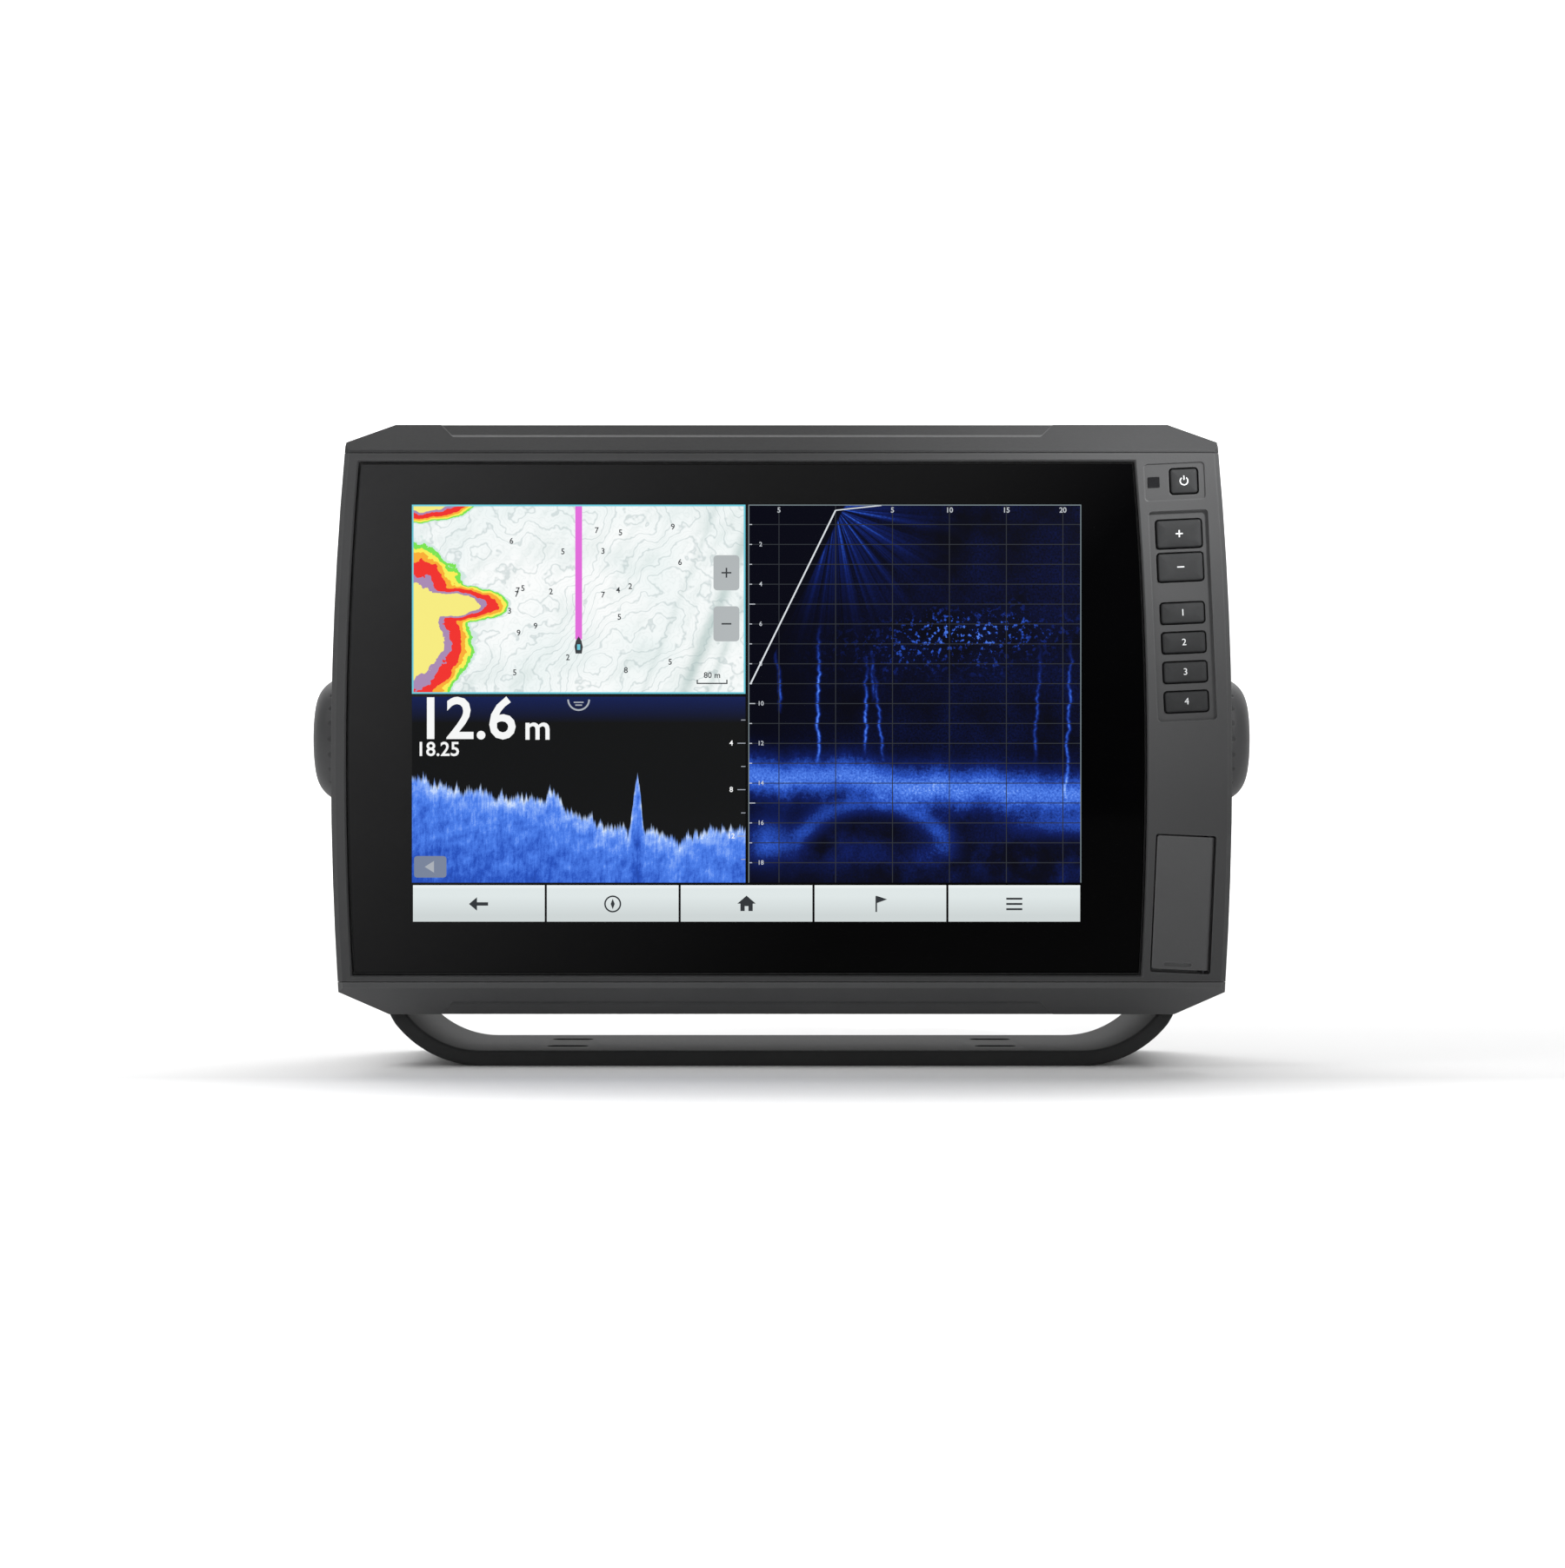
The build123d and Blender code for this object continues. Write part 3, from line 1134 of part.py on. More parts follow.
def release_lever():
    """A paddle above the cradle, on a hub, with two toes under the leaf's wings."""
    hub = rod_x(-LEVER_HALF_W, LEVER_HALF_W, LEVER_PIN_Y, LEVER_PIN_Z, LEVER_HUB_R)
    low = LEVER_PIN_Z
    paddle_y = LEVER_PIN_Y + LEVER_HUB_R - PADDLE_T
    paddle = [
        (paddle_y, low),
        (paddle_y + PADDLE_T, low),
        (paddle_y + PADDLE_T + PADDLE_LEAN, low + PADDLE_H),
        (paddle_y + PADDLE_LEAN, low + PADDLE_H),
    ]
    lever = hub + side_prism(paddle, -LEVER_HALF_W, LEVER_HALF_W)
    toe_top = CRADLE_TOP + LATCH_LIFT - LATCH_T - TOE_UNDER_LEAF
    toe_low = CRADLE_TOP - TOE_LOW
    toe_end = PLATE_Y - LATCH_REACH + TOE_SHORT
    for side in (-1, 1):
        span = sorted((side * (LATCH_W / 2 + TOE_IN), side * (LATCH_WING_W / 2)))
        arm = [
            (LEVER_PIN_Y, LEVER_PIN_Z),
            (LEVER_PIN_Y + TOE_ROOT, toe_top - TOE_ROOT),
            (LEVER_PIN_Y - 2 * TOE_ROOT, toe_top),
            (toe_end, toe_top),
            (toe_end, toe_low),
            (PLATE_BACK_Y + TOE_ROOT, toe_low),
            (LEVER_PIN_Y - LEVER_HUB_R + TOE_ROOT / 2, LEVER_PIN_Z),
        ]
        lever += side_prism(arm, *span)
    return lever - rod_x(
        -LEVER_HALF_W, LEVER_HALF_W, LEVER_PIN_Y, LEVER_PIN_Z, LEVER_PIN_R + RUNNING_CLEARANCE
    )


# ---------------------------------------------------------------- all parts
def all_parts():
    parts = {
        "mount_bracket": mount_bracket(),
        "left_knob_washer": knob_washer(-1),
        "left_knob_grip": knob_grip(-1),
        "left_knob_stud": knob_stud(-1),
        "right_knob_washer": knob_washer(1),
        "right_knob_grip": knob_grip(1),
        "right_knob_stud": knob_stud(1),
        "cradle_shell": cradle_shell(),
        "pivot_inserts": pivot_inserts(),
        "cable_lock_bar": cable_lock_bar(),
        "lock_bar_screws": lock_bar_screws(),
        "latch_spring": latch_spring(),
        "lever_pin": lever_pin(),
        "release_lever": release_lever(),
        "front_bezel": front_bezel(),
        "top_trim": trim_cap(True),
        "bottom_trim": trim_cap(False),
        "cover_glass": cover_glass(),
        "glass_adhesive": glass_adhesive(),
        "optical_bond": optical_bond(),
        "lcd_panel": lcd_panel(),
        "backlight": backlight(),
        "lcd_frame": lcd_frame(),
        "lcd_screws": lcd_screws(),
        "sensor_window": sensor_window(),
        "keypad_membrane": keypad_membrane(),
        "key_board": key_board(),
        "tact_switches": tact_switches(),
        "card_door_panel": card_door_panel(),
        "door_pin": door_pin(),
        "card_bay_seal": card_bay_seal(),
        "card_board": card_board(),
        "card_sockets": card_sockets(),
        "rear_housing": rear_housing(),
        "housing_seal": housing_seal(),
        "housing_screws": housing_screws(),
        "breather_vent": breather_vent(),
        "power_socket": rear_socket(0, 4),
        "sonar_socket": rear_socket(1, 8),
        "network_socket": rear_socket(2, 6),
        "bus_socket": rear_socket(3, 5),
        "socket_caps": socket_caps(),
        "main_board": main_board(),
        "board_screws": board_screws(),
        "thermal_pad": thermal_pad(),
        "heat_spreader": heat_spreader(),
        "gnss_antenna": gnss_antenna(),
        "buzzer": buzzer(),
        "display_ribbon": display_ribbon(),
        "key_ribbon": key_ribbon(),
    }
    for key in all_keys():
        parts[key[0] + "_cap"] = key_cap(key)
    return parts


os.makedirs("parts", exist_ok=True)
for node, shape in all_parts().items():
    export_step(shape, os.path.join("parts", node + ".step"))
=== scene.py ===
import json
import math
import random

import bmesh
import bpy
from mathutils import Matrix, Vector

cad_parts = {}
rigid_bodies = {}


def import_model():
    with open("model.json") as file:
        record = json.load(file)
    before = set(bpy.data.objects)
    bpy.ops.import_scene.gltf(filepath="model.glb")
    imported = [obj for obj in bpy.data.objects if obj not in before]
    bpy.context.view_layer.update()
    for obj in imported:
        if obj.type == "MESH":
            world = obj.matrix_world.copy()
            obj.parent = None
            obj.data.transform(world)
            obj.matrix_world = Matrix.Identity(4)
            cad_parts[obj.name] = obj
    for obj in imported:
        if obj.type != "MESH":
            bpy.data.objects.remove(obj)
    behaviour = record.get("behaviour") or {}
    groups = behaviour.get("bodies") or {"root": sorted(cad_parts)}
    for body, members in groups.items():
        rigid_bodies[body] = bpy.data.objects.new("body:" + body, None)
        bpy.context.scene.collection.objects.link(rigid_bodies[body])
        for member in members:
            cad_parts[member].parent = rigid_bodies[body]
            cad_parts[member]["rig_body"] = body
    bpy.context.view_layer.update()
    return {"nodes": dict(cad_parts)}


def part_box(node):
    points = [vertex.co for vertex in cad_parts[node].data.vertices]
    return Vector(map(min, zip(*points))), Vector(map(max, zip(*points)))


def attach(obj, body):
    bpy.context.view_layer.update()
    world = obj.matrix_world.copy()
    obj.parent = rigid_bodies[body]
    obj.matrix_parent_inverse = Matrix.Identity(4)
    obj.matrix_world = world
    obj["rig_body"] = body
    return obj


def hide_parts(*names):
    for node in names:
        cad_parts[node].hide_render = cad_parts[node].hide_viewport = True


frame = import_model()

# A ten-inch chartplotter display on its bail bracket. Everything is in metres, +Z up,
# and the display faces -Y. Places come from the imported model's own boxes.

MM = 0.001
rng = random.Random(7)


# ---------------- node materials
class Value:
    """A number or vector in a node tree, which adds and multiplies like a number."""

    def __init__(self, paint, socket):
        self.paint = paint
        self.socket = socket

    def __add__(self, other):
        return self.paint.math("ADD", self, other)

    __radd__ = __add__

    def __sub__(self, other):
        return self.paint.math("SUBTRACT", self, other)

    def __rsub__(self, other):
        return self.paint.math("SUBTRACT", other, self)

    def __mul__(self, other):
        return self.paint.math("MULTIPLY", self, other)

    __rmul__ = __mul__

    def abs(self):
        return self.paint.math("ABSOLUTE", self)

    def clamp(self):
        return self.paint.math("ADD", self, 0.0, clamp=True)

    def max(self, other):
        return self.paint.math("MAXIMUM", self, other)

    def min(self, other):
        return self.paint.math("MINIMUM", self, other)

    def fract(self):
        return self.paint.math("FRACT", self)

    def above(self, edge, soft):
        """0 below edge, 1 above it, smooth over soft."""
        return ((self - edge) * (1 / soft) + 0.5).clamp()

    def bell(self, centre, width):
        """1 at centre, falling to nothing about 2 widths away."""
        off = (self - centre) * (1 / width)
        return self.paint.math("EXPONENT", off * off * -1.0)


class Paint:
    """A node material on one Principled shader, with short names for what is used here."""

    def __init__(self, name):
        self.material = bpy.data.materials.new(name)
        self.material.use_nodes = True
        self.tree = self.material.node_tree
        self.shader = self.tree.nodes["Principled BSDF"]
        self._coords = None

    def node(self, kind, **settings):
        made = self.tree.nodes.new("ShaderNode" + kind)
        for key, value in settings.items():
            setattr(made, key, value)
        return made

    def feed(self, socket, value):
        """Puts a number, a colour or another node's output on an input."""
        if isinstance(value, Value):
            self.tree.links.new(value.socket, socket)
        elif isinstance(value, (tuple, list)) and len(value) == 3 and socket.type == "RGBA":
            socket.default_value = (*value, 1.0)
        else:
            socket.default_value = value

    def math(self, operation, a, b=0.0, clamp=False):
        made = self.node("Math", operation=operation, use_clamp=clamp)
        self.feed(made.inputs[0], a)
        self.feed(made.inputs[1], b)
        return Value(self, made.outputs[0])

    def place(self):
        """The point being shaded, in metres, as x, y and z values and one vector."""
        if self._coords is None:
            source = self.node("TexCoord")
            split = self.node("SeparateXYZ")
            self.tree.links.new(source.outputs["Object"], split.inputs[0])
            xyz = [Value(self, out) for out in split.outputs]
            self._coords = (*xyz, Value(self, source.outputs["Object"]))
        return self._coords

    def vector(self, x, y, z):
        made = self.node("CombineXYZ")
        for socket, value in zip(made.inputs, (x, y, z)):
            self.feed(socket, value)
        return Value(self, made.outputs[0])

    def noise(self, vector, scale, detail=2.0, rough=0.5, warp=0.0):
        made = self.node("TexNoise")
        self.feed(made.inputs["Vector"], vector)
        for key, value in (
            ("Scale", scale), ("Detail", detail), ("Roughness", rough), ("Distortion", warp)
        ):
            self.feed(made.inputs[key], value)
        return Value(self, made.outputs["Fac"])

    def cells(self, vector, scale):
        made = self.node("TexVoronoi")
        self.feed(made.inputs["Vector"], vector)
        self.feed(made.inputs["Scale"], scale)
        return Value(self, made.outputs["Distance"])

    def mix(self, factor, a, b):
        made = self.node("Mix", data_type="RGBA")
        self.feed(made.inputs[0], factor)
        self.feed(made.inputs[6], a)
        self.feed(made.inputs[7], b)
        return Value(self, made.outputs[2])

    def ramp(self, factor, stops, constant=False):
        made = self.node("ValToRGB")
        made.color_ramp.interpolation = "CONSTANT" if constant else "LINEAR"
        elements = made.color_ramp.elements
        while len(elements) < len(stops):
            elements.new(1.0)
        for element, (at, colour) in zip(elements, stops):
            element.position = at
            element.color = (*colour, 1.0)
        self.feed(made.inputs[0], factor)
        return Value(self, made.outputs[0])

    def bump(self, height, distance, strength=1.0, edge=0.0):
        """Relief from a height in metres' scale; edge rounds the shading of sharp corners."""
        made = self.node("Bump")
        made.inputs["Strength"].default_value = strength
        made.inputs["Distance"].default_value = distance
        self.feed(made.inputs["Height"], height)
        if edge:
            self.tree.links.new(self.rounded(edge), made.inputs["Normal"])
        self.tree.links.new(made.outputs[0], self.shader.inputs["Normal"])

    def rounded(self, radius):
        made = self.node("Bevel", samples=4)
        made.inputs["Radius"].default_value = radius
        return made.outputs[0]

    def edges(self, radius):
        """1 along sharp edges, 0 on flats."""
        plain = self.node("NewGeometry")
        dot = self.node("VectorMath", operation="DOT_PRODUCT")
        self.tree.links.new(self.rounded(radius), dot.inputs[0])
        self.tree.links.new(plain.outputs["Normal"], dot.inputs[1])
        return ((1.0 - Value(self, dot.outputs["Value"])) * 4.0).clamp()

    def set(self, **inputs):
        for key, value in inputs.items():
            self.feed(self.shader.inputs[key.replace("_", " ")], value)
        return self


EDGE_SHINE = 0.0004                 # radius over which a moulding's edges catch the light
PAINTED_EDGE_HIGHLIGHT = 0.75                       # how strongly those edges are painted pale, as a painted highlight


def moulded(name, colour, rough, grain=0.00045, relief=0.00004, spec=0.45):
    """Moulded plastic: fine spark-eroded grain, faint flow marks, and a painted highlight along the
    edges.
    """
    p = Paint(name)
    at = p.place()[3]
    fine = p.cells(at, 1 / grain)
    soft = p.noise(at, 0.6 / grain, 3.0, 0.6)
    flow = p.noise(at, 16.0, 3.0, 0.55)
    # painted highlight: convex edges are painted paler and made glossier, standing in for the light
    # that rounded ridges catch
    pale_edges = p.edges(EDGE_SHINE * 1.6) * (p.noise(at, 120.0, 2.0, 0.6) * 0.8 + 0.4) * PAINTED_EDGE_HIGHLIGHT
    light = tuple(min(1.0, c * 1.9 + 0.02) for c in colour)
    dark = tuple(c * 0.86 for c in colour)
    base = p.mix(flow.above(0.5, 0.35), dark, colour)
    p.set(Base_Color=p.mix(pale_edges, base, light), Roughness=(rough + soft * 0.12 - pale_edges * 0.3))
    p.shader.inputs["Specular IOR Level"].default_value = spec
    p.bump(fine * 0.6 + soft * 0.5, relief, 0.7, EDGE_SHINE)
    return p.material


def powder_coat(name, colour, rough):
    """Powder-coated metal: orange-peel relief, a satin sheen, edges rubbed a little."""
    p = Paint(name)
    at = p.place()[3]
    peel = p.noise(at, 700.0, 3.0, 0.55)
    speck = p.cells(at, 2600.0)
    flow = p.noise(at, 22.0, 2.0, 0.5)
    pale_edges = p.edges(0.0009) * p.noise(at, 140.0, 3.0, 0.65) * 0.5
    shade = p.mix(flow.above(0.5, 0.4), tuple(c * 0.88 for c in colour), colour)
    p.set(Base_Color=p.mix(pale_edges, shade, tuple(c * 2.2 for c in colour)))
    p.set(Roughness=rough + peel * 0.14 - pale_edges * 0.1)
    p.shader.inputs["Specular IOR Level"].default_value = 0.10
    p.bump(peel + speck * 0.25, 0.00007, 0.7, 0.0006)
    return p.material


def rubber(name, colour, rough=0.72):
    """Soft rubber: dull, with a dusty bloom and a fine tooth."""
    p = Paint(name)
    at = p.place()[3]
    tooth = p.noise(at, 2400.0, 2.0, 0.6)
    bloom = p.noise(at, 60.0, 4.0, 0.6)
    dusty = tuple(c * 1.5 + 0.008 for c in colour)
    p.set(Base_Color=p.mix(bloom.above(0.55, 0.3) * 0.6, colour, dusty))
    p.set(Roughness=rough + tooth * 0.12)
    p.shader.inputs["Specular IOR Level"].default_value = 0.3
    p.bump(tooth, 0.00003, 0.6, 0.0003)
    return p.material


def metal(name, colour, rough, stretch=(1.0, 1.0, 12.0)):
    """Machined or rolled metal with fine lines along one direction."""
    p = Paint(name)
    x, y, z, at = p.place()
    lines = p.noise(p.vector(x * stretch[0], y * stretch[1], z * stretch[2]), 900.0, 3.0, 0.6)
    stain = p.noise(at, 60.0, 3.0, 0.6)
    dark = tuple(c * 0.82 for c in colour)
    p.set(Base_Color=p.mix(stain.above(0.5, 0.4), dark, colour), Metallic=1.0)
    p.set(Roughness=rough + lines * 0.16)
    p.bump(lines, 0.00001, 0.5, 0.0002)
    return p.material


def board_green(name):
    """Solder mask over a faint track pattern."""
    p = Paint(name)
    x, _, z, at = p.place()
    lane = ((x * 260.0).fract() - 0.5).abs().above(0.38, 0.05)
    cross = ((z * 190.0).fract() - 0.5).abs().above(0.4, 0.05)
    gate = p.noise(at, 34.0, 1.0, 0.4)
    tracks = (lane * gate.above(0.52, 0.02) + cross * (1.0 - gate.above(0.5, 0.02))).clamp()
    p.set(Base_Color=p.mix(tracks, (0.008, 0.075, 0.035), (0.02, 0.15, 0.07)))
    p.set(Roughness=0.34 + p.noise(at, 800.0) * 0.1)
    p.bump(tracks, 0.00003, 0.5)
    return p.material


def plain_tone(name, colour, rough, variation=0.15):
    """A small inner piece: its own tone with a little mottling."""
    p = Paint(name)
    at = p.place()[3]
    mottle = p.noise(at, 300.0, 3.0, 0.6)
    low = tuple(c * (1 - variation) for c in colour)
    p.set(Base_Color=p.mix(mottle, low, colour), Roughness=rough + mottle * 0.1)
    p.bump(mottle, 0.00002, 0.4, 0.0002)
    return p.material


GLASS_SPECULAR = 0.015
GLASS_LOW, GLASS_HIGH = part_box("cover_glass")


def screen_glass(name):
    """Coated front glass with a black printed border: nearly black, with faint smears and a painted
    reflection, paler towards the upper left.
    """
    p = Paint(name)
    x, y, z, at = p.place()
    smear = p.noise(p.vector(x, y, z * 2.2), 26.0, 4.0, 0.6, 0.8)
    across = (x - GLASS_LOW.x) * (1 / (GLASS_HIGH.x - GLASS_LOW.x))
    up = (z - GLASS_LOW.z) * (1 / (GLASS_HIGH.z - GLASS_LOW.z))
    # painted reflection: the base colour runs from dark grey at the upper left to black at the right,
    # standing in for a softbox mirrored in the glass
    faint_wash = (0.8 - across + (up - 0.5) * 0.45).clamp()
    painted_reflection = p.mix(faint_wash * (faint_wash * 0.6 + 0.4), (0.0004, 0.0004, 0.0005), (0.0345, 0.0345, 0.0352))
    p.set(Base_Color=p.mix(smear * 0.2, painted_reflection, (0.003, 0.003, 0.0033)))
    p.set(Roughness=0.035 + smear.above(0.6, 0.3) * 0.05)
    p.shader.inputs["Specular IOR Level"].default_value = GLASS_SPECULAR
    p.bump(p.noise(at, 3500.0, 1.0), 0.000001, 0.25)
    return p.material


def glowing(p, colour):
    """Finishes a lit area: the colour is given off, under the same coated glass."""
    p.set(Base_Color=(0.002, 0.002, 0.002), Emission_Color=colour)
    p.shader.inputs["Emission Strength"].default_value = 1.0
    p.shader.inputs["Roughness"].default_value = 0.05
    p.shader.inputs["Specular IOR Level"].default_value = GLASS_SPECULAR
    return p.material


# ---------------- mesh helpers
def add(name, mesh, material, body):
    """Links a mesh as a piece that rides on a body."""
    obj = bpy.data.objects.new(name, mesh)
    bpy.context.scene.collection.objects.link(obj)
    mesh.materials.clear()
    mesh.materials.append(material)
    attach(obj, body)
    return obj


def mesh_from(bm, name, smooth_angle=None):
    bmesh.ops.recalc_face_normals(bm, faces=bm.faces)
    mesh = bpy.data.meshes.new(name)
    if smooth_angle is not None:
        for face in bm.faces:
            face.smooth = True
        for edge in bm.edges:
            if len(edge.link_faces) == 2 and edge.calc_face_angle() > smooth_angle:
                edge.smooth = False
    bm.to_mesh(mesh)
    bm.free()
    return mesh


def plate(outlines, y_front, y_back):
    """Closed thin plates from (x, z) outlines, each given clockwise or not, as one bmesh."""
    bm = bmesh.new()
    for outline in outlines:
        front = [bm.verts.new((x, y_front, z)) for x, z in outline]
        back = [bm.verts.new((x, y_back, z)) for x, z in outline]
        bm.faces.new(front)
        bm.faces.new(list(reversed(back)))
        for i in range(len(outline)):
            j = (i + 1) % len(outline)
            bm.faces.new((front[j], front[i], back[i], back[j]))
    return bm


def rect(x0, x1, z0, z1):
    return [(x0, z0), (x1, z0), (x1, z1), (x0, z1)]


def bar(cx, cz, half_w, half_h):
    return rect(cx - half_w, cx + half_w, cz - half_h, cz + half_h)


def round_rect(cx, cz, w, h, r, turn=0.0, steps=5):
    """Outline of a rounded rectangle, turned by an angle in radians."""
    points = []
    for corner, (sx, sz) in enumerate(((1, 1), (-1, 1), (-1, -1), (1, -1))):
        for step in range(steps + 1):
            angle = math.radians(90 * corner + 90 * step / steps)
            u = sx * (w / 2 - r) + r * math.cos(angle)
            v = sz * (h / 2 - r) + r * math.sin(angle)
            points.append(
                (cx + u * math.cos(turn) - v * math.sin(turn),
                 cz + u * math.sin(turn) + v * math.cos(turn))
            )
    return points


def ring(cx, cz, radius, width, start=0.0, end=360.0, steps=32):
    """Outlines of a flat ring or arc: one for an arc, two halves for a whole ring."""
    if end - start >= 360:
        middle = (start + end) / 2
        first = ring(cx, cz, radius, width, start, middle, steps // 2)
        return first + ring(cx, cz, radius, width, middle, end, steps // 2)
    angles = [math.radians(start + (end - start) * step / steps) for step in range(steps + 1)]
    inner, outer = radius - width / 2, radius + width / 2
    outline = [(cx + outer * math.cos(a), cz + outer * math.sin(a)) for a in angles]
    outline += [(cx + inner * math.cos(a), cz + inner * math.sin(a)) for a in reversed(angles)]
    return [outline]


def sign(cx, cz, arm, half, plus):
    """A minus sign, or a plus, as rectangles: arm is half its span, half is half its stroke."""
    marks = [bar(cx, cz, arm, half)]
    if plus:
        marks += [rect(cx - half, cx + half, cz + half, cz + arm)]
        marks += [rect(cx - half, cx + half, cz - arm, cz - half)]
    return marks


def stroke(points, width):
    """Quads along a line of points."""
    quads = []
    for (x0, z0), (x1, z1) in zip(points, points[1:]):
        length = math.hypot(x1 - x0, z1 - z0) or 1.0
        nx, nz = -(z1 - z0) / length * width / 2, (x1 - x0) / length * width / 2
        quads.append([(x0 + nx, z0 + nz), (x1 + nx, z1 + nz), (x1 - nx, z1 - nz), (x0 - nx, z0 - nz)])
    return quads


def numerals(text, cx, cz, height, y_front, y_back, turn=0.0, align="CENTER", bold=0.0):
    """Plain figures as a closed mesh, standing in the front plane."""
    curve = bpy.data.curves.new("figures", "FONT")
    curve.body = text
    curve.size = height * 1.4
    curve.align_x = align
    curve.align_y = "CENTER"
    curve.extrude = (y_back - y_front) / 2
    curve.resolution_u = 3
    curve.offset = height * bold
    holder = bpy.data.objects.new("figures", curve)
    bpy.context.scene.collection.objects.link(holder)
    bpy.context.view_layer.update()
    mesh = bpy.data.meshes.new_from_object(holder.evaluated_get(bpy.context.evaluated_depsgraph_get()))
    bpy.data.objects.remove(holder)
    bpy.data.curves.remove(curve)
    place = (
        Matrix.Translation((cx, (y_front + y_back) / 2, cz))
        @ Matrix.Rotation(-turn, 4, "Y")
        @ Matrix.Rotation(math.radians(90), 4, "X")
    )
    mesh.transform(place)
    return mesh


def join(meshes, name):
    """Several meshes as one."""
    bm = bmesh.new()
    for mesh in meshes:
        bm.from_mesh(mesh)
        bpy.data.meshes.remove(mesh)
    bmesh.ops.remove_doubles(bm, verts=bm.verts, dist=1e-8)
    return mesh_from(bm, name)


# ---------------- materials on the CAD nodes
CHARCOAL = (0.035, 0.0355, 0.0365)
BLACK = (0.018, 0.018, 0.019)

case_plastic = moulded("case_plastic", CHARCOAL, 0.50, grain=0.0006, relief=0.00003)
# painted shade and painted light: the top and bottom trims are one plastic given two tones, the top one
# darker and duller and the bottom one paler, to set how bright each facet looks
top_trim_plastic = moulded(
    "top_trim_plastic", (0.028, 0.0284, 0.0292), 0.50, grain=0.0008, relief=0.00002, spec=0.18
)
bottom_trim_plastic = moulded(
    "bottom_trim_plastic", (0.062, 0.0625, 0.064), 0.46, grain=0.0008, relief=0.00002
)
door_plastic = moulded("door_plastic", (0.064, 0.0645, 0.066), 0.52, grain=0.0007, relief=0.00004)
housing_plastic = moulded("housing_plastic", (0.030, 0.030, 0.031), 0.58, grain=0.0012, relief=0.00010)
cradle_plastic = moulded("cradle_plastic", (0.026, 0.026, 0.027), 0.55, grain=0.0011, relief=0.00009)
knob_plastic = moulded("knob_plastic", (0.034, 0.0345, 0.036), 0.50, grain=0.0007, relief=0.00004)
lever_plastic = moulded("lever_plastic", (0.075, 0.076, 0.078), 0.5, grain=0.0007, relief=0.00004)
socket_plastic = moulded("socket_plastic", BLACK, 0.4, grain=0.0009, relief=0.00003)
nylon = moulded("nylon", (0.03, 0.03, 0.03), 0.4, grain=0.0006, relief=0.00002)
bracket_coat = powder_coat("bracket_coat", (0.041, 0.0415, 0.042), 0.74)
key_rubber = rubber("key_rubber", (0.013, 0.0135, 0.0142), 0.66)
seal_rubber = rubber("seal_rubber", (0.012, 0.012, 0.013), 0.78)
cap_rubber = rubber("cap_rubber", (0.016, 0.016, 0.017), 0.7)
steel = metal("steel", (0.60, 0.60, 0.61), 0.26)
black_steel = metal("black_steel", (0.045, 0.045, 0.048), 0.4)
spring_steel = metal("spring_steel", (0.52, 0.53, 0.55), 0.3, (12.0, 1.0, 1.0))
brass = metal("brass", (0.78, 0.56, 0.24), 0.3, (12.0, 1.0, 1.0))
sheet_metal = metal("sheet_metal", (0.64, 0.65, 0.66), 0.36, (14.0, 1.0, 1.0))
green_board = board_green("green_board")
glass_black = screen_glass("glass_black")

# each material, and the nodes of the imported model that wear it
NODE_MATERIALS = (
    (case_plastic, "front_bezel"),
    (top_trim_plastic, "top_trim"),
    (bottom_trim_plastic, "bottom_trim"),
    (door_plastic, "card_door_panel"),
    (glass_black, "cover_glass"),
    (housing_plastic, "rear_housing"),
    (cradle_plastic, "cradle_shell cable_lock_bar"),
    (nylon, "left_knob_washer right_knob_washer"),
    (knob_plastic, "left_knob_grip right_knob_grip"),
    (
        steel,
        "left_knob_stud right_knob_stud lock_bar_screws lever_pin lcd_screws housing_screws "
        "board_screws",
    ),
    (brass, "pivot_inserts"),
    (spring_steel, "latch_spring"),
    (lever_plastic, "release_lever"),
    (seal_rubber, "glass_adhesive keypad_membrane card_bay_seal housing_seal"),
    (plain_tone("clear_bond", (0.10, 0.10, 0.11), 0.2), "optical_bond"),
    (plain_tone("panel_film", (0.03, 0.03, 0.04), 0.18), "lcd_panel"),
    (plain_tone("diffuser", (0.75, 0.75, 0.74), 0.5, 0.06), "backlight"),
    (sheet_metal, "lcd_frame tact_switches card_sockets heat_spreader"),
    (plain_tone("smoked_window", (0.004, 0.004, 0.005), 0.12), "sensor_window"),
    (green_board, "key_board card_board main_board"),
    (black_steel, "door_pin"),
    (socket_plastic, "breather_vent power_socket sonar_socket network_socket bus_socket buzzer"),
    (cap_rubber, "socket_caps"),
    (plain_tone("thermal_pad", (0.22, 0.30, 0.42), 0.7), "thermal_pad"),
    (plain_tone("ceramic_patch", (0.62, 0.56, 0.44), 0.45), "gnss_antenna"),
    (plain_tone("amber_film", (0.42, 0.20, 0.05), 0.3), "display_ribbon"),
    (plain_tone("amber_film_2", (0.42, 0.20, 0.05), 0.3), "key_ribbon"),
)


def dress_cad_nodes():
    for material, nodes in NODE_MATERIALS:
        for node in nodes.split():
            obj = frame["nodes"][node]
            if not obj.material_slots:
                obj.data.materials.append(material)
            for slot in obj.material_slots:
                slot.material = material


# ---------------- keys
KEYS = [n for n in frame["nodes"] if n.endswith("_key_cap")]
COLUMN_TILT = math.radians(2.6)     # the key column leans with the case's bowed side
KEY_FLANGE = 0.8 * MM               # hidden flange round each key, inside the case
CROWN = 0.30 * MM                   # dome of each key's face
FACE_SINK = 0.05 * MM               # face below the CAD key's foremost plane
LEGEND_T = 0.05 * MM


